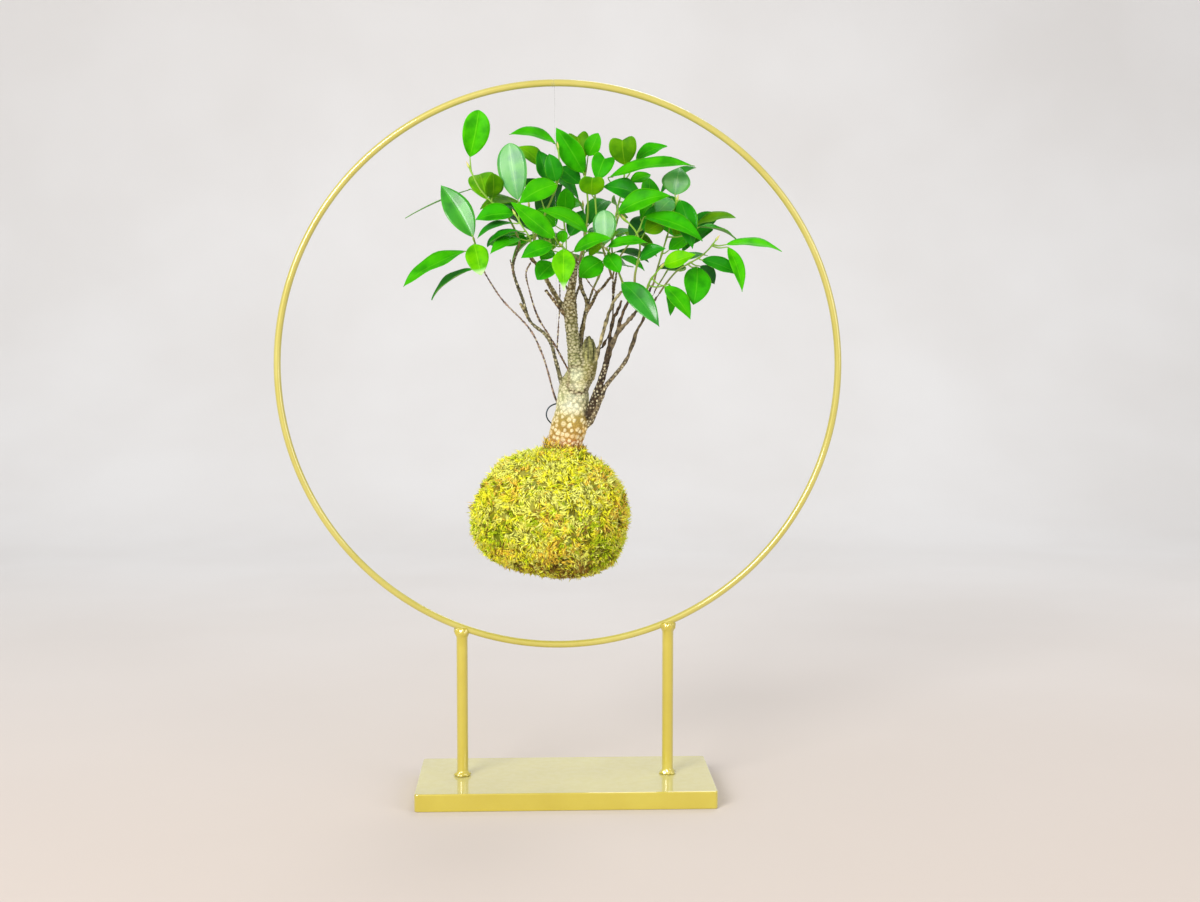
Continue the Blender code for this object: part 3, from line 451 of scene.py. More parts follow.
def back_leaves(path, draw, crown):
    """Leaves of a far shoot: seeded draws round its twig, each kept where it is clear of what is set."""
    chance = random.Random(draw)
    leaves = []
    total = travels(path)[-1]
    for i in range(BACK_LEAVES):
        origin, along = point_on(path, total * (0.25 + 0.74 * i / (BACK_LEAVES - 1)))
        outward = origin - CROWN_MIDDLE
        outward.z *= 0.4
        outward.normalize()
        for _ in range(DRAWS):
            spread = Vector([chance.uniform(-1, 1) for _ in range(3)])
            heading = (outward * 0.7 + along * 0.25 + spread).normalized()
            base = origin + heading * chance.uniform(0.006, 0.009)
            droop = Vector((0.0, 0.0, chance.uniform(-0.5, 0.0)))
            length = chance.uniform(0.026, 0.034)
            tip = base + (heading + droop).normalized() * length
            leaf = (base, tip, length * 0.56, chance.uniform(20, 75))
            body = leaf_body(stalk_root(path, base), *leaf, LEAF_THICKNESS + 4 * GAP)
            if tip.z > CROWN_FLOOR and crown.is_clear(body, path):
                crown.add(body)
                leaves.append(leaf)
                break
    return leaves


class Crown:
    """What is set in the crown already."""

    def __init__(self):
        self.trees = []

    def add(self, body, path=None):
        self.trees.append((BVHTree.FromPolygons(*body), path))

    def is_clear(self, body, own_path):
        """Whether a leaf crosses nothing but the twig that it grows on."""
        tree = BVHTree.FromPolygons(*body)
        return not any(path != own_path and tree.overlap(other) for other, path in self.trees)


def twig_body(branch, places):
    path = twig_path(branch, places)
    return tube(path, tapered(path, min(tip_radius(branch) * 0.85, 0.0012), TWIG_TIP_RADIUS), 5)


def settle_leaves():
    """Every shoot's leaves as (base, tip, width, turn) in metres and degrees, the far shoots' drawn last."""
    settled = {}
    crown = Crown()
    crown.add(tube([seen(LINE_TOP), seen(LINE_FOOT)], [LINE_RADIUS + GAP] * 2, 5))
    for name, (root, tip, *_) in BRANCHES.items():
        path = branch_path(name)
        crown.add(tube(path, tapered(path, root * MM, tip * MM), 6))
    for name, (branch, places, leaves) in SHOOTS.items():
        settled[name] = [(seen(base), seen(tip), width * MM, turn) for base, tip, width, turn, _ in leaves]
        crown.add(twig_body(branch, places))
        for leaf in settled[name]:
            crown.add(leaf_body(stalk_root(twig_path(branch, places), leaf[0]), *leaf))
    for branch, places, _ in BACK_SHOOTS.values():
        crown.add(twig_body(branch, places), twig_path(branch, places))
    for name, (branch, places, draw) in BACK_SHOOTS.items():
        settled[name] = back_leaves(twig_path(branch, places), draw, crown)
    return settled


def between(a, b, c, d, t):
    """A smooth curve's value at a share t of the way from b to c, with a before them and d after."""
    return 0.5 * (2 * b + (c - a) * t + (2 * a - 5 * b + 4 * c - d) * t ** 2
                  + (3 * b - a - 3 * c + d) * t ** 3)


def smooth(points, steps):
    """A smooth curve through the points, read at a few steps between each two."""
    row = [points[0] * 2 - points[1], *points, points[-1] * 2 - points[-2]]
    path = []
    for four in zip(row, row[1:], row[2:], row[3:]):
        path.extend(between(*four, i / steps) for i in range(steps))
    path.append(points[-1])
    return path


def wound(centre, axis, radius, away, turns):
    """Points of a line wound round a rod, from the side that faces away; its turns lie side by side."""
    away = (away - axis * away.dot(axis)).normalized()
    other = axis.cross(away)
    pitch = LINE_RADIUS * 2 + GAP * 2
    steps = round(turns * 9)
    radius /= math.cos(math.pi * turns / steps)
    path = []
    for i in range(steps + 1):
        turn = 2 * math.pi * turns * i / steps
        path.append(centre + (away * math.cos(turn) + other * math.sin(turn)) * radius
                    + axis * (pitch * turns * i / steps))
    return path


# Colours of the leaves; n is a darker copy of the green, painted shade for leaves seen against the light
LEAF_COLOURS = {
    "g": (46, 159, 2), "b": (54, 163, 1), "d": (28, 134, 9), "y": (94, 186, 1), "p": (78, 160, 70),
    "q": (50, 154, 24), "o": (90, 160, 3), "k": (82, 144, 2), "l": (92, 184, 1), "u": (66, 180, 1),
    "w": (30, 138, 12), "n": (34, 94, 36)}
UNDERSIDE = (92, 158, 44)
# How much of a gloss coat the shinier leaves have
LEAF_GLOSS = {"p": 0.72, "q": 1.0, "w": 1.0, "d": 0.16}
# Where a blade is widest along its length, two powers for how it closes towards its tip, and how full it is
OUTLINES = {
    "e": (0.46, 1.8, 1.0, 1.0), "r": (0.58, 2.3, 0.62, 1.0), "d": (0.45, 2.1, 0.78, 1.0),
    "h": (0.62, 3.2, 0.5, 1.0), "t": (0.42, 1.6, 1.35, 1.0), "s": (0.44, 1.75, 1.05, 0.78)}
# How far the middle of a heart-shaped blade's end is drawn in
HEART_NOTCH = 0.20
BLADE_STEPS = 18
BLADE_HALF = 4
BLADE_THICKNESS = 0.0004
FINE_STALK = (0.00062, 0.00034)
# A bud: radii at shares of its length
BUD_LENGTH = 0.005
BUD_FORM = ((0.0, 0.00062), (0.15, 0.00085), (0.35, 0.00086), (0.6, 0.00062), (0.85, 0.00028), (1.0, 0.00006))

# Colours of the trunk and the leader at places down the view
TRUNK_TINTS = (
    (447, (206, 150, 74)), (434, (196, 154, 72)), (420, (182, 156, 76)), (408, (190, 182, 116)),
    (396, (200, 202, 150)), (382, (176, 172, 112)), (366, (162, 158, 92)), (345, (138, 136, 76)))
LEADER_TINTS = (
    (384, (192, 192, 142)), (366, (152, 154, 96)), (345, (126, 126, 72)), (325, (118, 114, 60)),
    (300, (112, 96, 50)), (262, (112, 98, 54)))
SPOT_TINT = (246, 236, 196)
STUB_TINT = (136, 134, 80)
SKIN_GRAIN = 0.0005

# The moss by colour: the colour, its share, and the patches of the front view where it is thicker, each as
# (across, down, half width, half height, gain)
MOSS = {
    # The yellow patch at (515, 468) is painted light on the ball's lit upper left
    "yellow": ((255, 250, 102), 1.6, ((515, 468, 42, 22, 4.0), (548, 508, 22, 14, 2.5))),
    "lime": ((246, 236, 44), 2.1, ()),
    "green": ((182, 202, 22), 0.45, (
        (613, 545, 18, 20, 6.0), (590, 538, 16, 16, 3.0), (494, 527, 16, 18, 3.0))),
    "orange": ((254, 204, 68), 0.34, (
        (508, 489, 18, 11, 5.0), (551, 521, 11, 11, 10.0), (611, 508, 13, 20, 8.0),
        (600, 473, 16, 10, 4.0), (507, 552, 9, 9, 12.0), (549, 552, 16, 10, 16.0), (562, 449, 18, 8, 8.0))),
    "brown": ((146, 112, 36), 0.1, (
        (576, 568, 24, 9, 9.0), (552, 561, 14, 6, 4.0), (527, 566, 12, 7, 5.0), (612, 516, 9, 10, 3.0),
        (584, 453, 7, 6, 6.0))),
    # The pale patch at (512, 462) is a painted highlight on the ball's lit upper left
    "pale": ((240, 248, 118), 0.35, ((577, 490, 24, 26, 7.0), (512, 462, 28, 14, 6.0))),
    "dark": ((116, 108, 12), 0.14, (
        (584, 455, 8, 6, 5.0), (581, 541, 5, 4, 9.0), (604, 556, 20, 14, 3.0))),
}
MOSS_SPRIGS = 7400
MOSS_SPRIG_STRANDS = 6
MOSS_STRAND_LENGTH = (0.0032, 0.0064)
MOSS_STRAND_WIDTH = (0.0008, 0.0014)
# The shell under the strands, painted dark as the shade between them: its size beside the ball's, its levels
# and its sides
SHELL_SCALE = 0.952
SHELL_LEVELS = 66
SHELL_SIDES = 120
WISP_STRANDS = 9
WISP_DEPTH = 4.5
WISP_LENGTH = (0.003, 0.0056)
WISP_WIDTH = (0.0004, 0.0008)
COLLAR_STRANDS = 420
COLLAR_REACH = (0.0112, 0.0150)
# Wisps that stand out of the outline: where, and which way in the front view
WISPS = (
    ((471, 505), (-1.0, 0.1)), ((473, 535), (-1.0, 0.2)), ((500, 460), (-0.5, 1.0)),
    ((601, 462), (0.3, 1.0)), ((613, 565), (0.7, -0.9)), ((484, 549), (-0.8, -0.5)),
    ((556, 578), (0.1, -1.0)), ((628, 500), (1.0, 0.3)))


def linear(colour):
    """A colour of 0 to 255 a channel as linear light."""
    return tuple(((c / 255 + 0.055) / 1.055) ** 2.4 if c > 10 else c / 255 / 12.92 for c in colour)


class Finish:
    """A procedural material that is wired node by node."""

    def __init__(self, name, colour, values):
        self.material = bpy.data.materials.new(name)
        self.material.use_nodes = True
        self.material.diffuse_color = (*linear(colour), 1.0)
        self.nodes = self.material.node_tree.nodes
        self.links = self.material.node_tree.links
        self.shader = self.nodes["Principled BSDF"]
        self.shader.inputs["Base Color"].default_value = (*linear(colour), 1.0)
        for socket, value in values.items():
            self.shader.inputs[socket].default_value = value

    def node(self, kind, inputs, **settings):
        """A node whose inputs are values or other nodes' outputs."""
        made = self.nodes.new("ShaderNode" + kind)
        for key, value in settings.items():
            setattr(made, key, value)
        for socket, value in inputs.items():
            if isinstance(value, bpy.types.NodeSocket):
                self.links.new(value, made.inputs[socket])
            else:
                made.inputs[socket].default_value = value
        return made

    def place(self, kind="Object"):
        return self.node("TexCoord", {}).outputs[kind]

    def noise(self, scale, detail):
        return self.node("TexNoise", {"Vector": self.place(), "Scale": scale, "Detail": detail}).outputs[0]

    def ramp(self, value, stops):
        """Colours along a value: stops of (value, colour)."""
        made = self.node("ValToRGB", {"Fac": value})
        band = made.color_ramp
        while len(band.elements) < len(stops):
            band.elements.new(1.0)
        for element, (at, colour) in zip(band.elements, stops):
            element.position = at
            element.color = (*linear(colour), 1.0)
        return made.outputs["Color"]

    def spread(self, value, low, high, start=0.0, end=1.0):
        """The value's range from low to high, eased and laid out from start to end."""
        inputs = {"Value": value, "From Min": low, "From Max": high, "To Min": start, "To Max": end}
        return self.node("MapRange", inputs, interpolation_type="SMOOTHSTEP").outputs["Result"]

    def mix(self, share, a, b):
        """Each of the two is a colour of 0 to 255 a channel, or a node's output."""
        made = self.node("Mix", {"Factor": share}, data_type="RGBA")
        for socket, value in ((made.inputs[6], a), (made.inputs[7], b)):
            if isinstance(value, bpy.types.NodeSocket):
                self.links.new(value, socket)
            else:
                socket.default_value = (*linear(value), 1.0)
        return made.outputs[2]

    def maths(self, operation, a, b=0.0):
        return self.node("Math", {0: a, 1: b}, operation=operation).outputs[0]

    def uv(self, axis):
        return self.node("SeparateXYZ", {"Vector": self.place("UV")}).outputs[axis]

    def off_middle(self):
        """How far across a blade, from 0 at its midrib to 0.5 at its rim."""
        return self.maths("ABSOLUTE", self.maths("SUBTRACT", self.uv("Y"), 0.5))

    def tinted(self, scale, detail, low, high, dark, light):
        """The base colour is each point's own tint, made darker and lighter by fine flecks."""
        tint = self.node("Attribute", {}, attribute_name="tint").outputs["Color"]
        fleck = self.spread(self.noise(scale, detail), low, high, dark, light)
        shaded = self.node("VectorMath", {0: tint, "Scale": fleck}, operation="SCALE")
        self.wire("Base Color", shaded.outputs["Vector"])

    def clouded(self, scale, detail, stops):
        """The base colour is a cloud of a few close colours."""
        self.wire("Base Color", self.ramp(self.noise(scale, detail), stops))

    def wire(self, socket, value):
        self.links.new(value, self.shader.inputs[socket])

    def bump(self, height, strength, distance):
        made = self.node("Bump", {"Height": height, "Strength": strength, "Distance": distance})
        self.wire("Normal", made.outputs["Normal"])


def gold_paint(name, shades):
    """Gold paint under a glossy coat, with a faint clouding and orange peel."""
    gold = Finish(name, shades[1], {"Metallic": 0.1, "Roughness": 0.36, "Coat Weight": 1.0,
                                    "Coat Roughness": 0.05, "Coat IOR": 1.7, "Sheen Weight": 0.35,
                                    "Sheen Roughness": 0.45, "Sheen Tint": (0.84, 1.0, 0.86, 1.0)})
    gold.clouded(24, 4, tuple(zip((0.3, 0.55, 0.75), shades)))
    gold.wire("Roughness", gold.spread(gold.noise(210, 3), 0.3, 0.7, 0.32, 0.42))
    gold.bump(gold.noise(260, 2), 0.03, 0.0004)
    return gold.material


def bark():
    """Bark whose tint comes with each point, with fine flecks and grain."""
    wood = Finish("bark", (160, 150, 100), {"Roughness": 0.82, "Specular IOR Level": 0.3})
    wood.tinted(1500, 3, 0.35, 0.7, 0.72, 1.18)
    wood.bump(wood.noise(1900, 4), 0.35, 0.0004)
    return wood.material


def leaf_finish(letter):
    """A waxy leaf: pale midrib and side veins, a rim painted paler as a highlight, and soft clouding."""
    colour = LEAF_COLOURS[letter]
    leaf = Finish("leaf_" + letter, colour, {"Roughness": 0.42, "Specular IOR Level": 0.05,
                                             "Coat Weight": LEAF_GLOSS.get(letter, 0.0),
                                             "Coat Roughness": 0.26 if letter in "pqw" else 0.17})
    along = leaf.uv("X")
    across = leaf.off_middle()
    deep = (colour[0] * 0.72, colour[1] * 0.84, colour[2])
    light = (colour[0] * 1.14 + 4, colour[1] * 1.06, colour[2])
    body = leaf.ramp(leaf.noise(90, 3), ((0.34, deep), (0.5, colour), (0.68, light)))
    slant = leaf.maths("SUBTRACT", leaf.maths("MULTIPLY", along, 22.0), leaf.maths("MULTIPLY", across, 16.0))
    wave = leaf.maths("SINE", leaf.maths("MULTIPLY", slant, 2 * math.pi))
    veins = leaf.spread(wave, 0.72, 1.0, 0.0, 0.14)
    body = leaf.mix(veins, body, (colour[0] * 1.1 + 22, min(255, colour[1] * 1.08 + 16), colour[2] + 12))
    rib = leaf.spread(across, 0.010, 0.030, 0.30, 0.0)
    body = leaf.mix(rib, body, (colour[0] + 62, min(255, colour[1] + 46), colour[2] + 36))
    # Painted highlight: the rim is mixed towards a paler yellow-green along the leaf's edge
    rim = leaf.spread(across, 0.46, 0.5, 0.0, 0.42)
    body = leaf.mix(rim, body, (126, 208, 34))
    if letter == "y":
        body = leaf.mix(leaf.spread(along, 0.80, 0.94, 0.0, 0.8), body, (206, 240, 176))
    leaf.wire("Base Color", body)
    groove = leaf.spread(across, 0.0, 0.05, -1.0, 0.0)
    leaf.bump(leaf.maths("ADD", groove, leaf.maths("MULTIPLY", veins, -1.2)), 0.35, 0.0005)
    return leaf.material


def leaf_underside():
    """The pale back of every leaf, with a paler midrib."""
    under = Finish("leaf_underside", UNDERSIDE, {"Roughness": 0.55})
    body = under.ramp(under.noise(120, 3), ((0.3, (78, 144, 34)), (0.7, (104, 170, 54))))
    body = under.mix(under.spread(under.off_middle(), 0.02, 0.07, 0.8, 0.0), body, (156, 206, 96))
    under.wire("Base Color", body)
    return under.material


def green_stem():
    """A young stem: bark-coloured where it starts, u 0, and fresh green where it ends, u 1."""
    stem = Finish("green_stem", (150, 186, 60), {"Roughness": 0.45})
    shades = ((0.0, (116, 92, 62)), (0.22, (128, 122, 60)), (0.5, (118, 156, 42)), (1.0, (130, 184, 44)))
    body = stem.ramp(stem.uv("X"), shades)
    spots = stem.spread(stem.noise(1100, 2), 0.58, 0.68, 0.0, 0.4)
    stem.wire("Base Color", stem.mix(spots, body, (150, 110, 80)))
    return stem.material


def bud_finish():
    """A bud's sheath: green at its foot and tan at its tip."""
    bud = Finish("bud", (214, 196, 132), {"Roughness": 0.42})
    shades = ((0.0, (176, 204, 84)), (0.6, (206, 200, 112)), (1.0, (212, 170, 116)))
    bud.wire("Base Color", bud.ramp(bud.uv("X"), shades))
    return bud.material


def moss_finish(name, roughness):
    """Moss whose tint comes with each point."""
    moss = Finish(name, (216, 214, 60), {"Roughness": roughness, "Specular IOR Level": 0.2})
    moss.tinted(700, 2, 0.3, 0.7, 0.82, 1.12)
    return moss.material


def soil_finish():
    soil = Finish("soil", (60, 44, 30), {"Roughness": 0.95})
    soil.clouded(420, 5, ((0.35, (38, 28, 20)), (0.65, (92, 68, 44))))
    soil.bump(soil.noise(500, 5), 0.6, 0.001)
    return soil.material


def wire_finish():
    steel = Finish("dark_wire", (58, 70, 80), {"Metallic": 0.7, "Roughness": 0.35})
    steel.clouded(900, 3, ((0.35, (40, 50, 58)), (0.65, (84, 100, 112))))
    return steel.material


def line_finish():
    """Clear nylon."""
    line = Finish("clear_line", (244, 247, 248), {"Roughness": 0.12, "IOR": 1.45, "Alpha": 0.16,
                                                  "Transmission Weight": 0.6})
    line.clouded(600, 2, ((0.4, (238, 243, 245)), (0.6, (250, 252, 252))))
    return line.material


def placed(name, data):
    """A new object in the scene."""
    thing = bpy.data.objects.new(name, data)
    bpy.context.scene.collection.objects.link(thing)
    return thing


class Form:
    """Points and faces of one piece as they are gathered.

    Each face has the number of its material, and each point its u and v: on a leaf, u runs along and v across.
    """

    def __init__(self):
        self.points = []
        self.places = []
        self.faces = []
        self.slots = []

    def add(self, points, faces, slots=0, places=None):
        """Slots is one number for all the faces, or a list with one a face."""
        first = len(self.points)
        self.points.extend(points)
        self.places.extend(places or [(0.0, 0.0)] * len(points))
        self.faces.extend([first + i for i in face] for face in faces)
        self.slots.extend(slots if isinstance(slots, list) else [slots] * len(faces))

    def build(self, name, finishes):
        mesh = bpy.data.meshes.new(name)
        mesh.from_pydata([tuple(p) for p in self.points], [], self.faces)
        for finish in finishes:
            mesh.materials.append(finish)
        mesh.polygons.foreach_set("material_index", self.slots)
        corners = np.empty(len(mesh.loops), np.int32)
        mesh.loops.foreach_get("vertex_index", corners)
        layer = mesh.uv_layers.new(name="blade")
        layer.uv.foreach_set("vector", np.array(self.places, np.float32)[corners].ravel())
        mesh.shade_smooth()
        mesh.validate()
        return placed(name, mesh)


def stand_in(thing, slot, *nodes):
    """The thing takes the place of solids: it hangs from the root body, and the solids are hidden."""
    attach(thing, "root")
    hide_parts(*nodes)
    return thing


def tint_points(mesh, tints):
    layer = mesh.color_attributes.new(name="tint", type="FLOAT_COLOR", domain="POINT")
    rgba = np.ones((len(mesh.vertices), 4), np.float32)
    rgba[:, :3] = tints
    layer.data.foreach_set("color", rgba.ravel())


def read_rows(items, field):
    """A three-number field of every item, as rows."""
    found = np.empty(len(items) * 3, np.float32)
    items.foreach_get(field, found)
    return found.reshape(-1, 3).astype(float)


def in_view(points):
    """Where points stand in the front view, across and down."""
    right, up, forward = (np.array(axis) for axis in view_axes())
    offset = points - np.array(EYE)
    deep = offset @ forward
    return (VIEW_MIDDLE[0] + VIEW_RANGE * (offset @ right) / deep,
            VIEW_MIDDLE[1] - VIEW_RANGE * (offset @ up) / deep)


def make_camera():
    """The front view that the places are read in."""
    right, up, forward = view_axes()
    lens = bpy.data.cameras.new("front_view")
    lens.sensor_width = 36.0
    lens.lens = lens.sensor_width * VIEW_RANGE / (2 * VIEW_MIDDLE[0])
    lens.clip_start = 0.01
    camera = placed("front_view", lens)
    turned = Matrix((right, up, -forward)).transposed().to_4x4()
    camera.matrix_world = Matrix.Translation(EYE) @ turned
    bpy.context.scene.camera = camera


def add_lamp(name, place, size, watts, colour=(1.0, 1.0, 1.0)):
    data = bpy.data.lights.new(name, "AREA")
    data.shape = "DISK"
    data.size = size
    data.energy = watts
    data.color = colour
    lamp = placed(name, data)
    lamp.location = place
    lamp.rotation_euler = (Vector((0.0, 0.0, 0.3)) - Vector(place)).to_track_quat("-Z", "Y").to_euler()


def light_studio():
    """A pale floor that curves up into a wall, and soft lamps."""
    floor_end = 1.3
    curve = 0.9
    profile = [(-3.0, 0.0), (floor_end, 0.0)]
    for i in range(1, 13):
        turn = math.pi / 2 * i / 12
        profile.append((floor_end + curve * math.sin(turn), curve - curve * math.cos(turn)))
    profile.append((floor_end + curve, 4.0))
    points = [Vector((x, y, z)) for y, z in profile for x in (-5.0, 5.0)]
    faces = [(2 * i, 2 * i + 1, 2 * i + 3, 2 * i + 2) for i in range(len(profile) - 1)]
    studio = Form()
    studio.add(points, faces)
    pale = Finish("studio", (226, 225, 224), {"Roughness": 0.9, "Specular IOR Level": 0.1})
    wall = pale.ramp(pale.noise(2.2, 3), ((0.35, (223, 221, 220)), (0.65, (229, 228, 228))))
    back = pale.node("SeparateXYZ", {"Vector": pale.place()}).outputs["Y"]
    pale.wire("Base Color", pale.mix(pale.spread(back, -0.6, 1.5), (207, 195, 186), wall))
    studio.build("studio", [pale.material])
    world = bpy.data.worlds.new("studio_air")
    bpy.context.scene.world = world
    world.use_nodes = True
    air = world.node_tree.nodes["Background"]
    air.inputs["Color"].default_value = (1.0, 1.0, 1.0, 1.0)
    air.inputs["Strength"].default_value = 0.66
    add_lamp("main_lamp", (-1.2, -2.0, 1.25), 1.2, 54.0, (1.0, 0.99, 0.97))
    add_lamp("fill_lamp", (1.7, -1.5, 0.9), 1.4, 15.0)
    add_lamp("rim_lamp", (0.5, 1.15, 1.9), 0.9, 8.0)
    bpy.context.scene.view_settings.view_transform = "Standard"
    bpy.context.scene.view_settings.look = "None"


def make_ring(gold):
    """The ring, one round bar bent to a full circle."""
    radius = (RING_OUTSIDE - RING_ROD) / 2
    points = []
    for i in range(RING_STEPS):
        turn = 2 * math.pi * i / RING_STEPS
        out = Vector((math.sin(turn), 0.0, -math.cos(turn)))
        for c, s in circle(RING_SIDES):
            across = out * (radius + RING_ROD / 2 * c)
            points.append(RING_CENTRE + across + Vector((0.0, RING_ROD / 2 * s, 0.0)))
    ring = Form()
    ring.add(points, [[j % len(points) for j in face] for face in walls(RING_STEPS + 1, RING_SIDES)])
    return stand_in(ring.build("ring_bar", [gold]), "gold_paint", "ring")


def make_post(name, x, gold):
    """A post whose weld beads are ripples of melted metal."""
    radius = POST_ROD / 2
    foot = PLATE_THICKNESS + GAP
    top = RING_CENTRE.z - math.sqrt(((RING_OUTSIDE - RING_ROD) / 2) ** 2 - (x - RING_CENTRE.x) ** 2)
    top -= RING_ROD * 0.1
    low_bead = ((1.0, 0.0), (0.95, 0.35), (0.75, 0.8), (0.42, 1.3), (0.14, 1.8), (0.0, 2.3))
    high_bead = ((0.0, -1.2), (0.35, -1.0), (0.8, -0.72), (1.0, -0.42), (0.85, -0.12), (0.4, 0.10))
    rows = [(radius + FOOT_BEAD * 0.6 * out, foot + FOOT_BEAD * 0.62 * up, out) for out, up in low_bead]
    rows += [(radius, foot + 0.012 + (top - foot - 0.026) * i / 7, 0.0) for i in range(8)]
    swell = (TOP_BEAD - radius) * 0.65
    rows += [(radius + swell * out, top + TOP_BEAD * 0.9 * up, out) for out, up in high_bead]
    points = []
    for r, z, melted in rows:
        for c, s in circle(POST_SIDES):
            ripple = melted * noise.noise(Vector((c * 2.8, s * 2.8, z * 520 + x * 40)))
            reach = r + 0.0015 * ripple
            points.append(Vector((x + reach * c, reach * s, z if z == foot else z + 0.0006 * ripple)))
    post = Form()
    post.add(points, walls(len(rows), POST_SIDES) + ends(len(rows), POST_SIDES))
    return stand_in(post.build(name + "_bar", [gold]), "gold_paint", name)


def thicker(path, radii, steps):
    """A path and its radii read at more places."""
    fine = smooth(path, steps)
    wide = []
    for i in range(len(fine)):
        k, part = divmod(i, steps)
        before = radii[min(k, len(radii) - 2)]
        after = radii[min(k + 1, len(radii) - 1)]
        wide.append(before * (1 - part / steps) + after * (part / steps))
    return fine, wide


def wood_bodies():
    """Every length of wood as (name, path, radii), the trunk first. Branches swell a little at their knots."""
    bodies = []
    for name, table in (("trunk", TRUNK), ("leader", LEADER)):
        path = [seen(place) for place, _ in table]
        radii = [radius * VIEW_UNIT for _, radius in table]
        bodies.append((name, *thicker(path, radii, 4)))
    for name, (root, tip, *_) in BRANCHES.items():
        path = smooth(branch_path(name), 5)
        phase = random.Random(name).uniform(0.0, 6.0)
        radii = tapered(path, root * MM, tip * MM)
        for i, way in enumerate(travels(path)):
            radii[i] *= 1.0 + 0.16 * max(0.0, math.sin(way * 620 + phase)) ** 3
        bodies.append((name, path, radii))
    return bodies


# Ridges that stand on the trunk: the scar under the leader, the crease on it, and the shoulder of branch h
RIDGES = (
    (0.0017, ((566.5, 378, -6.4), (569.5, 385, -9.3), (575, 389.5, -10.5), (581, 389.5, -9.4),
              (586.5, 386.5, -6.6))),
    (0.0009, ((568.5, 361, -4.8), (573, 364.5, -7.4), (579, 364, -7.0), (583, 360, -6.2))),
    (0.0014, ((583, 433, -8.0), (591, 420, -9.0), (598, 404, -11.5), (603, 390, -12.6))))
# Patches of the trunk's front: where, half sizes, colour and share; the darkest are painted shade under the
# scar's lip and in the crotch of branch h
BARK_PATCHES = (
    ((572, 404), (14, 10), (240, 244, 222), 0.62), ((576, 374), (7, 9), (236, 240, 206), 0.6),
    # The dark brown patches just under the scar's ridge, on this line and the next two, are painted shade under
    # its lip
    ((575, 386), (8, 3), (238, 230, 196), 0.6), ((568, 384.5), (1.9, 4.2), (112, 84, 38), 0.95),
    ((572, 391.0), (3.6, 2.3), (92, 64, 26), 1.0), ((579, 393.2), (6.0, 2.1), (84, 56, 22), 1.0),
    ((586.5, 389.5), (2.8, 3.2), (104, 76, 32), 0.95), ((569, 378), (1.6, 4), (128, 108, 56), 0.8),
    ((574, 366.5), (8, 1.5), (112, 94, 46), 0.75), ((582, 356), (1.6, 14), (84, 80, 40), 0.8),
    ((592, 378), (6, 14), (146, 130, 52), 0.75), ((584, 404), (6, 4), (150, 138, 56), 0.5),
    # The patch at (588, 413) is painted shade in the crotch between the trunk and branch h
    ((564, 398), (4, 6), (172, 176, 108), 0.5), ((588, 413), (5.5, 5.5), (50, 36, 28), 1.0),
    ((572, 443), (16, 3.5), (180, 96, 50), 0.6))


def tint_along(table, down):
    """Colours read from a table of (down, colour) that runs upwards."""
    places, colours = zip(*table[::-1])
    channels = zip(*(linear(colour) for colour in colours))
    return np.stack([np.interp(down, places, channel) for channel in channels], 1)


def spaced(places, spacing, draw):
    """Picks places at least their spacing apart, in a seeded order."""
    order = list(range(len(places)))
    random.Random(draw).shuffle(order)
    cell = max(spacing)
    taken = {}
    picked = []
    for i in order:
        key = tuple(int(way // cell) for way in places[i])
        near = (other for dx in (-1, 0, 1) for dy in (-1, 0, 1) for dz in (-1, 0, 1)
                for other in taken.get((key[0] + dx, key[1] + dy, key[2] + dz), ()))
        if all(sum((a - b) ** 2 for a, b in zip(places[i], places[j])) > spacing[i] ** 2 for j in near):
            taken.setdefault(key, []).append(i)
            picked.append(i)
    return picked


def tree_of(points):
    found = KDTree(len(points))
    for i, point in enumerate(points):
        found.insert(point, i)
    found.balance()
    return found


def clouds(points, scale, shift=0.0):
    """Smooth noise from -1 to 1 at points."""
    move = Vector((shift, shift * 0.7, 0.0))
    return np.array([noise.noise(Vector(p) * scale + move) for p in points])


def nearest_wood(points, bodies):
    """How far each point is from the surface of the nearest length of wood, and which one it is."""
    rows = [(name, p, r) for name, path, radii in bodies for p, r in zip(path, radii)]
    finder = tree_of([p for _, p, _ in rows])
    away = np.empty(len(points))
    names = []
    for i, p in enumerate(points):
        _, k, distance = min(finder.find_n(p, 5), key=lambda hit: hit[2] - rows[hit[1]][2])
        away[i] = distance - rows[k][2]
        names.append(rows[k][0])
    return away, names


def bark_spots(points, big, low):
    """The raised spots of the bark: how high each point is on its spot, from 0 in a gap to 1."""
    stretched = points.copy()
    stretched[:, 2] += 0.5 * np.clip(points[:, 2] - seen((573, 398, 0)).z, 0.0, None) * big
    stretched += np.array([noise.noise_vector(Vector(p) * 420) for p in points]) * 0.0007
    spacing = np.where(big > 0.5, 0.0025 + 0.0006 * low, 0.0023) * (1.0 + 0.6 * clouds(points, 260, 2.0))
    places = [tuple(p) for p in stretched]
    picked = spaced(places, spacing, 4)
    spots = tree_of([places[j] for j in picked])
    raised = np.empty(len(points))
    for i, p in enumerate(places):
        (_, k, first), (_, _, second) = spots.find_n(p, 2)
        size = spacing[picked[k]]
        border = min(1.0, (second - first) / (size * 0.42))
        reach = size * (0.62 if big[i] > 0.5 else 0.34)
        raised[i] = min(border, max(0.0, 1.0 - (first / reach) ** 2) * 1.6)
    return np.clip(raised, 0.0, 1.0)


def soft_side(distance, width):
    """A share that eases from 1 to 0 as the distance grows past nothing."""
    return 1 / (1 + np.exp(np.clip(distance / width, -30, 30)))


def blend(base, other, share):
    """Colours in rows, mixed by each row's share of the other."""
    return base * (1 - share[:, None]) + other * share[:, None]


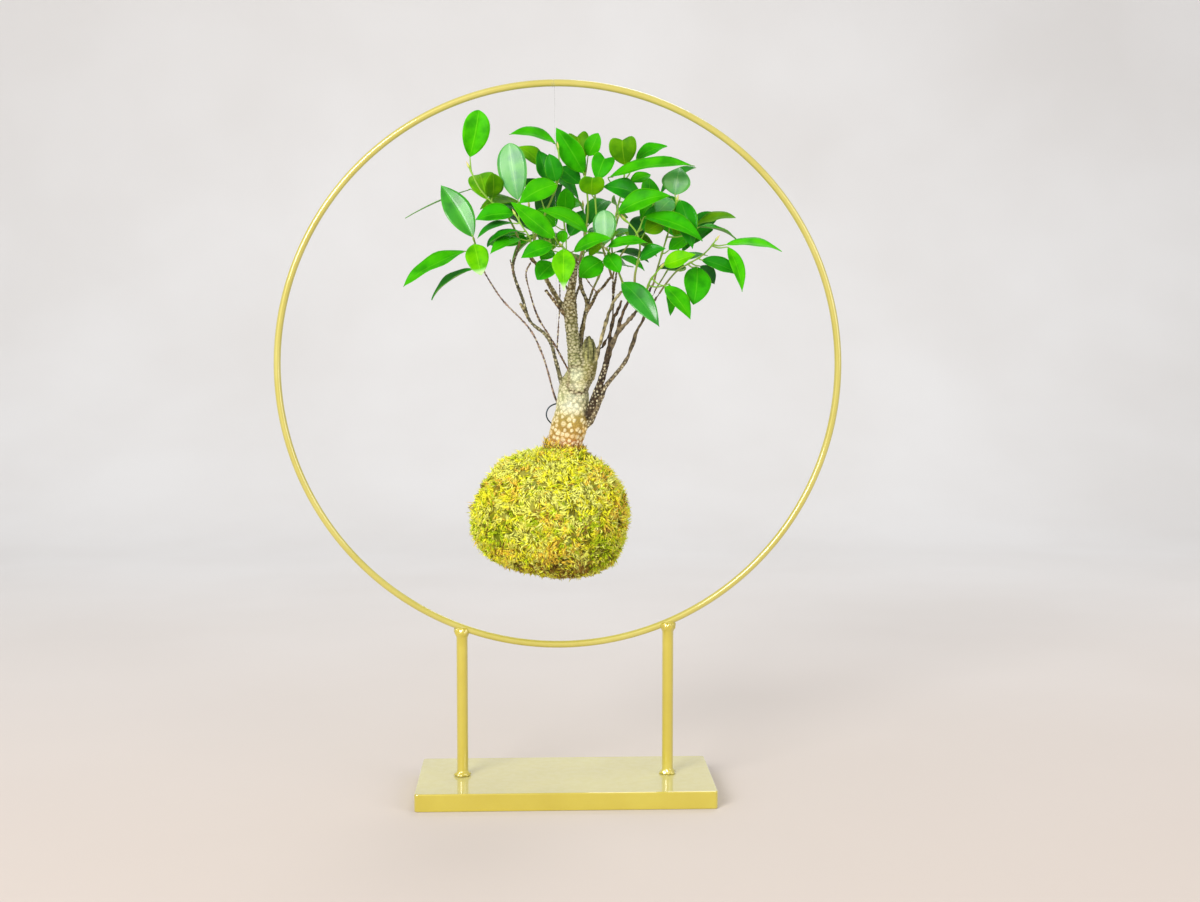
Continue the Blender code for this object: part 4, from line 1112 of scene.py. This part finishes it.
def grow_skin(bodies, finish):
    """The wood and its ridges as one skin."""
    rough = Form()
    for name, path, radii in bodies:
        rough.add(*tube(path, radii, 28 if name in ("trunk", "leader") else 12))
    for radius, places in RIDGES:
        path = smooth([seen(place) for place in places], 4)
        swell = [radius * (0.5 + math.sin(math.pi * i / (len(path) - 1)) * 0.5) for i in range(len(path))]
        rough.add(*tube(path, swell, 10))
    tree = rough.build("tree", [finish])
    remesh = tree.modifiers.new("skin", "REMESH")
    remesh.mode = "VOXEL"
    remesh.voxel_size = SKIN_GRAIN
    relax = tree.modifiers.new("relax", "SMOOTH")
    relax.factor = 0.45
    relax.iterations = 2
    bpy.context.view_layer.update()
    mesh = bpy.data.meshes.new_from_object(tree.evaluated_get(bpy.context.evaluated_depsgraph_get()))
    tree.modifiers.clear()
    old = tree.data
    tree.data = mesh
    bpy.data.meshes.remove(old)
    return tree


def trunk_tints(points, across, down, lead, wrinkle, cloud):
    """The trunk's and the leader's colours, with their painted shade, and how much of each point is in the
    painted shade of the crotch between the trunk and branch h.
    """
    wood = blend(tint_along(TRUNK_TINTS, down), tint_along(LEADER_TINTS, down), lead)
    wood *= (1.0 + 0.30 * np.minimum(wrinkle, 0.0) + 0.22 * np.maximum(wrinkle, 0.0))[:, None]
    crotch_shade = np.zeros(len(points))
    for (x, y), (wide, tall), colour, share in BARK_PATCHES:
        away = ((across - x) / wide) ** 2 + ((down - y) / tall) ** 2
        weight = share * np.exp(-(away + 0.35 * cloud * away) ** 2) * (points[:, 1] < 0.002)
        weight *= np.clip(1.0 + 0.7 * cloud, 0.3, 1.0)
        wood = blend(wood, np.array(linear(colour)), weight)
        # The darkest patch is the painted shade of the crotch; the pale spots are kept out of it
        if max(colour) < 60:
            crotch_shade = weight
    return wood, crotch_shade


def make_tree(finish):
    """The trunk and its branches: the bark's bumps are raised on the skin, and each point gets its tint.

    For each point, big is its share in the trunk and the leader beside the branches, lead its share in the
    leader, low how near the trunk's foot it is, and stub its share in the cut stub.
    """
    bodies = wood_bodies()
    tree = grow_skin(bodies, finish)
    mesh = tree.data
    points = read_rows(mesh.vertices, "co")
    normals = read_rows(mesh.vertex_normals, "vector")
    across, down = in_view(points)
    off_trunk, _ = nearest_wood(points, bodies[:1])
    off_leader, _ = nearest_wood(points, bodies[1:2])
    off_twig, twigs = nearest_wood(points, bodies[2:])
    lead = soft_side(off_leader - off_trunk, 0.0007)
    big = soft_side(np.minimum(off_trunk, off_leader) - off_twig - 0.0006, 0.0004)
    low = np.clip((down - 372) / 50, 0.0, 1.0)
    stub = np.clip((364 - down) / 6, 0.0, 1.0) * np.clip((across - 581) / 3, 0.0, 1.0) * (1 - lead)
    raised = bark_spots(points, big, low)
    cloud = clouds(points, 130) + 0.5 * clouds(points, 420, 5.0)
    grain = clouds(np.stack([across * 0.42, down * 0.06, points[:, 1] * 200], 1), 1.0)
    wrinkle = np.sin(2 * np.pi * (points[:, 2] / 0.0023 + 0.5 * clouds(points, 180, 9.0))) * lead * (1 - low)

    wood, crotch_shade = trunk_tints(points, across, down, lead, wrinkle, cloud)
    fibre = np.array(linear(STUB_TINT)) * np.clip(1.0 + 1.7 * grain, 0.35, 1.9)[:, None]
    wood = blend(wood, fibre, stub)
    mottle = np.clip(clouds(points, 520, 3.0) * 1.7 + clouds(points, 230, 8.0), -1.0, 1.0)
    thin = np.array([linear(BRANCHES[name][2]) for name in twigs]) * (0.85 + 0.6 * mottle)[:, None]
    tint = blend(thin, wood, big) * (1.0 + 0.20 * cloud)[:, None]
    pale = np.where(big > 0.5, 0.66 + 0.10 * low, 0.95) * (1 - 0.9 * stub) * (1 - crotch_shade)
    pale *= np.clip(0.8 + 0.8 * clouds(points, 210, 6.0), 0.25, 1.0)
    gap = np.where(big > 0.5, 0.60 + 0.14 * low, 1.0)
    tint *= (gap + (1 - gap) * np.minimum(raised * 1.6, 1.0))[:, None]
    spot = np.array(linear(SPOT_TINT)) * (0.72 + 0.28 * low)[:, None]
    tint = blend(tint, np.maximum(spot, tint * 1.15), raised * pale)

    lift = raised * np.where(big > 0.5, 0.00032 + 0.00020 * low, 0.00009) * (1 - stub)
    lift += 0.00025 * clouds(points, 160) + 0.00012 * wrinkle + 0.0009 * grain * stub
    mesh.vertices.foreach_set("co", (points + normals * lift[:, None]).astype(np.float32).ravel())
    tint_points(mesh, np.clip(tint, 0.0, 1.0))
    mesh.shade_smooth()
    return stand_in(tree, "bark", "trunk_and_branches")


def ball_points(levels, sides, scale):
    """The ball's form read between its levels: round rows of points from the top to the bottom."""
    middle = seen(MOSS_HEART)
    table = [(MOSS_TOP[1] + 1.0, MOSS_TOP[0] - 9, MOSS_TOP[0] + 9), *MOSS_LEVELS,
             (MOSS_BOTTOM[1] - 1.2, MOSS_BOTTOM[0] - 16, MOSS_BOTTOM[0] + 12)]
    points = []
    for i in range(levels):
        place = (len(table) - 1) * i / (levels - 1)
        k = min(int(place), len(table) - 2)
        share = place - k
        around = [table[max(k - 1, 0)], table[k], table[k + 1], table[min(k + 2, len(table) - 1)]]
        down, left, right = (between(*four, share) for four in zip(*around))
        a = seen((left, down, 0))
        b = seen((right, down, 0))
        centre = (a + b) / 2
        half = (b - a).length / 2
        for c, s in circle(sides):
            point = centre + Vector((half * c, half * MOSS_DEPTH_RATIO * s, 0.0))
            points.append(middle + (point - middle) * scale)
    return points


def moss_tints(points, chance):
    """A tint for each point of moss: a seeded pick among the colours, weighted by the front's patches."""
    across, down = in_view(points)
    front = np.clip(0.5 - points[:, 1] * 40, 0.0, 1.0)
    weights = np.empty((len(points), len(MOSS)))
    for k, (_, share, patches) in enumerate(MOSS.values()):
        weights[:, k] = share * np.exp(3.6 * clouds(points, 70, 7.3 * k))
        for x, y, wide, tall, gain in patches:
            away = ((across - x) / wide) ** 2 + ((down - y) / tall) ** 2
            weights[:, k] += gain * np.exp(-away * 1.4) * front
    total = np.cumsum(weights, axis=1)
    pick = (chance.random(len(points))[:, None] * total[:, -1:] > total).sum(axis=1)
    return np.array([linear(colour) for colour, *_ in MOSS.values()])[pick]


def unit(rows):
    return rows / (np.linalg.norm(rows, axis=1)[:, None] + 1e-9)


def strand_piece(name, roots, headings, bends, lengths, widths, tints, finish):
    """Moss strands as one piece: each is a three-sided blade that bends and runs out to a point, its tint
    painted darker at the root as shade and lighter at the tip as light.
    """
    count = len(roots)
    sideways = unit(np.cross(headings, bends))
    upward = np.cross(sideways, headings)
    points = np.empty((count, 7, 3))
    shade = np.empty((count, 7, 3))
    # Painted shade: each strand's tint is cut to 0.36 at its root, for the shade between the strands
    for row, (share, wide, painted_brightness) in enumerate(((0.0, 0.7, 0.36), (0.5, 1.0, 1.0))):
        middle = roots + headings * (lengths * share)[:, None]
        middle = middle + bends * (lengths * share ** 2 * 0.55)[:, None]
        for k, (side, up) in enumerate(((-1.0, 0.0), (1.0, 0.0), (0.0, 0.75))):
            points[:, row * 3 + k] = middle + (sideways * side + upward * up) * (widths * wide / 2)[:, None]
            shade[:, row * 3 + k] = tints * painted_brightness
    points[:, 6] = roots + headings * lengths[:, None] + bends * (lengths * 0.55)[:, None]
    # Painted light: the tip is made lighter than the strand's own tint
    shade[:, 6] = np.minimum(tints * 1.15 + 0.02, 1.0)
    faces = [(2, 1, 0), *walls(2, 3), *((3 + k, 3 + (k + 1) % 3, 6) for k in range(3))]
    corners = (np.concatenate(faces)[None, :] + 7 * np.arange(count)[:, None]).ravel()
    sizes = np.tile([len(face) for face in faces], count)
    mesh = bpy.data.meshes.new(name)
    mesh.vertices.add(count * 7)
    mesh.vertices.foreach_set("co", points.astype(np.float32).ravel())
    mesh.loops.add(len(corners))
    mesh.loops.foreach_set("vertex_index", corners.astype(np.int32))
    mesh.polygons.add(len(sizes))
    mesh.polygons.foreach_set("loop_start", (np.cumsum(sizes) - sizes).astype(np.int32))
    mesh.update(calc_edges=True)
    mesh.materials.append(finish)
    mesh.shade_smooth()
    tint_points(mesh, np.clip(shade.reshape(-1, 3), 0.0, 1.0))
    thing = placed(name, mesh)
    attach(thing, "root")


def moss_shell(chance, finish):
    """The lumpy ball under the strands, painted dark as their shade: the corners of each of its faces."""
    middle = seen(MOSS_HEART)
    points = ball_points(SHELL_LEVELS, SHELL_SIDES, SHELL_SCALE)
    for i, p in enumerate(points):
        lump = noise.noise(p * 75) * 0.0012 + noise.noise(p * 240) * 0.0009
        points[i] = p + (p - middle).normalized() * lump
    skins = [(b, a, d, c) for a, b, c, d in walls(SHELL_LEVELS, SHELL_SIDES)]
    shell = Form()
    shell.add(points, skins + [tuple(reversed(face)) for face in ends(SHELL_LEVELS, SHELL_SIDES)])
    ball = shell.build("moss_ball", [finish])
    # Painted shade: the shell's tints are cut to 0.3 of the moss's, for the shade between the strands
    tint_points(ball.data, moss_tints(read_rows(ball.data.vertices, "co"), chance) * 0.3)
    stand_in(ball, "moss", "moss_cover")
    return np.array([[points[i] for i in face] for face in skins], float)


def make_moss(shell_finish, strand_finish):
    """The ball: its shell, and sprigs of strands that stand and lie on it in drifts."""
    chance = np.random.default_rng(11)
    corners = moss_shell(chance, shell_finish)
    out = np.cross(corners[:, 1] - corners[:, 0], corners[:, 3] - corners[:, 0])
    areas = np.linalg.norm(out, axis=1)
    picked = chance.choice(len(areas), MOSS_SPRIGS, p=areas / areas.sum())
    a, b = chance.random((2, MOSS_SPRIGS, 1))
    first, second, third, fourth = corners[picked].transpose(1, 0, 2)
    seats = first * (1 - a) * (1 - b) + second * a * (1 - b) + third * a * b + fourth * (1 - a) * b
    normals = unit(out[picked])
    normals *= np.sign((normals * (seats - np.array(seen(MOSS_HEART)))).sum(axis=1))[:, None]
    drift = np.array([noise.noise_vector(Vector(p) * 95) for p in seats]) * 1.3
    drift += chance.normal(0, 0.42, seats.shape)
    drift = unit(drift - normals * (drift * normals).sum(axis=1)[:, None])
    lean = np.radians(chance.uniform(35, 76, MOSS_SPRIGS))[:, None]
    leaders = normals * np.cos(lean) + drift * np.sin(lean)

    own = np.repeat(np.arange(MOSS_SPRIGS), MOSS_SPRIG_STRANDS)
    up = normals[own]
    each = up.shape
    headings = unit(leaders[own] + chance.normal(0, 0.27, each) + up * 0.08)
    roots = seats[own] + chance.normal(0, 0.00045, each) - up * 0.0007
    bends = chance.normal(0, 0.4, each) + drift[own] * 0.5 - up * 0.35 + np.array([0.0, 0.0, -0.2])
    lengths = chance.uniform(*MOSS_STRAND_LENGTH, len(own)) * (1 - 0.45 * np.clip(-up[:, 2], 0.0, 1.0))
    widths = chance.uniform(*MOSS_STRAND_WIDTH, len(own))
    tints = moss_tints(seats, chance)[own] * chance.uniform(1.0, 1.35, (len(own), 1))
    keep = trunk_clear(roots)
    for k in range(3):
        row = keep & (own % 3 == k)
        parts = [part[row] for part in (roots, headings, bends, lengths, widths, tints)]
        strand_piece(f"moss_strands_{k + 1}", *parts, strand_finish)
    make_wisps(chance, strand_finish)


def trunk_clear(points):
    """Which points stand outside the trunk's foot."""
    foot = seen(TRUNK[3][0])
    reach = TRUNK[3][1] * VIEW_UNIT * 0.95
    near = np.hypot(points[:, 0] - foot.x, points[:, 1] - foot.y) < reach
    return ~(near & (points[:, 2] > foot.z - 0.012))


def make_wisps(chance, finish):
    """Longer strands that break the ball's outline, and the ragged collar round the trunk's foot."""
    roots = []
    headings = []
    tints = []
    for (x, y), (side, up) in WISPS:
        for _ in range(WISP_STRANDS):
            jitter = chance.normal(0, 1.0, 5)
            across = x - side * WISP_DEPTH + jitter[0] * 2.2
            roots.append(seen((across, y + up * WISP_DEPTH + jitter[1] * 2.2, jitter[2] * 5)))
            headings.append(Vector((side + jitter[3] * 0.45, jitter[2] * 0.5, up + jitter[4] * 0.45)))
            tints.append(("yellow", "lime", "orange")[chance.integers(3)])
    foot = seen(MOSS_COLLAR)
    for _ in range(COLLAR_STRANDS):
        angle = chance.uniform(0, 2 * math.pi)
        out = Vector((math.cos(angle), math.sin(angle), 0.0))
        place = foot + out * chance.uniform(*COLLAR_REACH)
        place.z += chance.uniform(-0.0045, 0.0005) - 0.0026 * out.x
        roots.append(place)
        around = Vector((-out.y, out.x, 0.0)) * chance.uniform(-0.7, 0.7)
        across = out * chance.uniform(-0.3, 0.35) + around
        headings.append(across + Vector((0.0, 0.0, chance.uniform(0.5, 1.2))))
        collar = ("brown", "dark", "green", "orange")
        if out.x < 0.3:
            collar = ("orange", "orange", "yellow", "brown")
        tints.append(collar[chance.integers(4)])
    count = len(roots)
    headings = np.array([heading.normalized() for heading in headings])
    bends = chance.normal(0, 0.45, (count, 3))
    lengths = chance.uniform(*WISP_LENGTH, count)
    widths = chance.uniform(*WISP_WIDTH, count)
    colours = np.array([linear(MOSS[tint][0]) for tint in tints])
    strand_piece("moss_wisps", np.array(roots), headings, bends, lengths, widths, colours, finish)


def half_width(share, outline):
    """A blade's half width at a share of its length, as a share of its widest."""
    widest, closing, power, fullness = OUTLINES[outline]
    if share < widest:
        return fullness * (1 - ((widest - share) / widest) ** 2.0) ** 0.8
    reach = (share - widest) / (1 - widest)
    drip = 0.09 * (1 - share) / 0.08 if share > 0.92 else 0.0
    return fullness * max((1 - reach ** closing) ** power, drip)


def blade_faces():
    """Faces of a blade's top, of its underside and of its rim, over a grid of points above and one below."""
    wide = 2 * BLADE_HALF + 1
    last = BLADE_STEPS * wide
    below = last + wide
    top = []
    rim = []
    for a in range(0, last, wide):
        top.extend((a + k, a + k + 1, a + wide + k + 1, a + wide + k) for k in range(wide - 1))
        b = a + wide - 1
        rim.append((a, a + wide, below + a + wide, below + a))
        rim.append((b, below + b, below + b + wide, b + wide))
    rim.extend((k, below + k, below + k + 1, k + 1) for k in range(wide - 1))
    rim.extend((k + 1, below + k + 1, below + k, k) for k in range(last, last + wide - 1))
    under = [tuple(below + j for j in reversed(quad)) for quad in top]
    return top, under, rim


def blade_tops(base, axes, length, width, look, chance):
    """The upper points of a folded blade with a wavy rim and a tip that hangs, each with its u and v."""
    along, side, face = axes
    calm = look[0] in "pq"
    fold = LEAF_FOLD * (0.35 if look[0] == "p" else chance.uniform(0.8, 1.2))
    if look[0] == "q":
        fold *= 1.27
    cup = 1.0 if calm else 1.3
    bow = LEAF_ARCH * (0.35 if calm else 1.0)
    droop = chance.uniform(0.02, 0.09) * (0.2 if calm else 1.0)
    sway = chance.uniform(-0.05, 0.05)
    wave = chance.uniform(0.004, 0.014) * length * (0.3 if calm else 1.0)
    phase = chance.uniform(0, 6.3)
    points = []
    for i in range(BLADE_STEPS + 1):
        share = 0.5 - 0.5 * math.cos(math.pi * i / BLADE_STEPS)
        part = half_width(share, look[1])
        reach = max(part * width / 2, 0.0003)
        arch = bow * length * 4 * share * (1 - share) - droop * length * max(0.0, share - 0.6) ** 2 * 4
        centre = base + along * (length * share) + face * arch
        centre += side * (sway * length * share * (1 - share) * 4)
        notch = HEART_NOTCH * length * max(0.0, (share - 0.6) / 0.4) ** 2 if look[1] == "h" else 0.0
        for k in range(-BLADE_HALF, BLADE_HALF + 1):
            t = k / BLADE_HALF
            curl = abs(t) ** cup * reach * math.sin(fold)
            curl += wave * t * t * math.sin(phase + share * 13 + 1.5 * t)
            drawn = along * (notch * max(0.0, 1 - abs(t) * part * 1.3))
            point = centre + side * (t * reach * math.cos(fold)) + face * curl - drawn
            points.append((point, (share, 0.5 + 0.5 * t)))
    return points


def fine_leaf(form, root, base, tip, width, turn, look, order, chance):
    """Adds a leaf: its blade, and a curved stalk."""
    along, side, face = leaf_frame(base, tip, turn)
    length = (tip - base).length
    tops = []
    lows = []
    places = []
    for point, place in blade_tops(base, (along, side, face), length, width, look, chance):
        tops.append(point)
        lows.append(point - face * (BLADE_THICKNESS * (1.0 - 0.55 * abs(2 * place[1] - 1))))
        places.append(place)
    top, under, rim = blade_faces()
    faces = top + under + rim
    if side.cross(along).dot(face) > 0:
        faces = [tuple(reversed(quad)) for quad in faces]
    own = order.index(look[0])
    slots = [own] * len(top) + [order.index("under")] * len(under) + [own] * len(rim)
    form.add(tops + lows, faces, slots, places * 2)
    sag = Vector((0.0, 0.0, -1.0)) * ((base - root).length * 0.10)
    bend = root * 0.55 + base * 0.45 + sag
    stalk = smooth([root, bend, base - face * 0.0001, base + along * (length * 0.06)], 4)
    points, faces = tube(stalk, tapered(stalk, *FINE_STALK), 7)
    form.add(points, faces, order.index("stem"), [(0.75, 0.5)] * len(points))


def add_bud(form, path, slot):
    """A slim sheathed bud in line with the end of a twig."""
    along = (path[-1] - path[-2]).normalized()
    start = path[-1] - along * 0.0006
    sides = 8
    path = [start + along * (BUD_LENGTH * share) for share, _ in BUD_FORM]
    points, faces = tube(path, [radius for _, radius in BUD_FORM], sides)
    form.add(points, faces, slot, [(BUD_FORM[i // sides][0], 0.5) for i in range(len(points))])


def make_shoot(name, branch, places, leaves, finishes):
    """A shoot: its twig with a ring at each leaf's foot, its bud and its leaves."""
    order = [*sorted(LEAF_COLOURS), "under", "stem", "bud"]
    chance = random.Random(name)
    if name in SHOOTS:
        looks = [look for *_, look in SHOOTS[name][2]]
    else:
        looks = [chance.choice("ggdddkkn") + chance.choice("eedr") for _ in leaves]
    form = Form()
    coarse = twig_path(branch, places)
    path = smooth(coarse, 5)
    radii = tapered(path, min(tip_radius(branch) * 0.9, 0.0010), 0.0005)
    roots = [stalk_root(coarse, leaf[0]) for leaf in leaves]
    for i, point in enumerate(path):
        near = min((point - root).length for root in roots)
        radii[i] *= 1.0 + 0.45 * max(0.0, 1.0 - near / 0.0016)
    sides = 10
    points, faces = tube(path, radii, sides)
    along = [(i // sides / (len(path) - 1), 0.5) for i in range(len(points))]
    form.add(points, faces, order.index("stem"), along)
    add_bud(form, path, order.index("bud"))
    for root, leaf, look in zip(roots, leaves, looks):
        fine_leaf(form, root, *leaf, look, order, chance)
    thing = form.build(name.replace("shoot", "foliage"), [finishes[key] for key in order])
    return stand_in(thing, "leaf", name)


def make_wire(finish):
    """The dark wire's loop round the trunk."""
    path = smooth([seen(place) for place in WIRE], 6)
    wire = Form()
    wire.add(*tube(path, [WIRE_RADIUS] * len(path), 12))
    return stand_in(wire.build("wire_loop", [finish]), "dark_wire", "trunk_wire")


def make_line(finish):
    """The clear line: its turns round the ring's top, its straight run, and its turns round the wire."""
    top = RING_CENTRE + Vector((seen(LINE_TOP).x - RING_CENTRE.x, 0.0, 0.0))
    top.z += math.sqrt(((RING_OUTSIDE - RING_ROD) / 2) ** 2 - (top.x - RING_CENTRE.x) ** 2)
    away = Vector((0.0, 1.0, 0.0))
    across = (seen(WIRE[4]) - seen(WIRE[3])).normalized()
    upper = wound(top, Vector((-1.0, 0.0, 0.0)), RING_ROD / 2 + LINE_RADIUS, away, LINE_TURNS)
    lower = wound(seen(LINE_FOOT), across, WIRE_RADIUS + LINE_RADIUS, away, LINE_TURNS)
    path = [*reversed(lower), *upper]
    line = Form()
    line.add(*tube(path, [LINE_RADIUS * 0.8] * len(path), 10))
    return stand_in(line.build("nylon_line", [finish]), "clear_line", "hanging_line")


def main():
    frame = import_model()
    noise.seed_set(NOISE_DRAW)
    make_camera()
    light_studio()
    gold = gold_paint("gold_paint", ((188, 169, 42), (194, 176, 50), (199, 184, 60)))
    for name, finish in (("base_plate", gold), ("soil_ball", soil_finish())):
        frame["nodes"][name].data.materials.clear()
        frame["nodes"][name].data.materials.append(finish)
    make_line(line_finish())
    make_wire(wire_finish())
    # The ring's copy of the gold paint is paler than the posts' and the plate's: painted light for the bright
    # sheen along its rod
    make_ring(gold_paint("gold_paint_ring", ((186, 173, 66), (192, 179, 78), (198, 187, 92))))
    make_post("post_left", -POST_SPACING / 2, gold)
    make_post("post_right", POST_SPACING / 2, gold)
    make_tree(bark())
    make_moss(moss_finish("moss_shell", 0.95), moss_finish("moss_strand", 0.7))
    finishes = {letter: leaf_finish(letter) for letter in LEAF_COLOURS}
    finishes.update(under=leaf_underside(), stem=green_stem(), bud=bud_finish())
    settled = settle_leaves()
    for name, (branch, places, _) in {**SHOOTS, **BACK_SHOOTS}.items():
        make_shoot(name, branch, places, settled[name], finishes)


main()
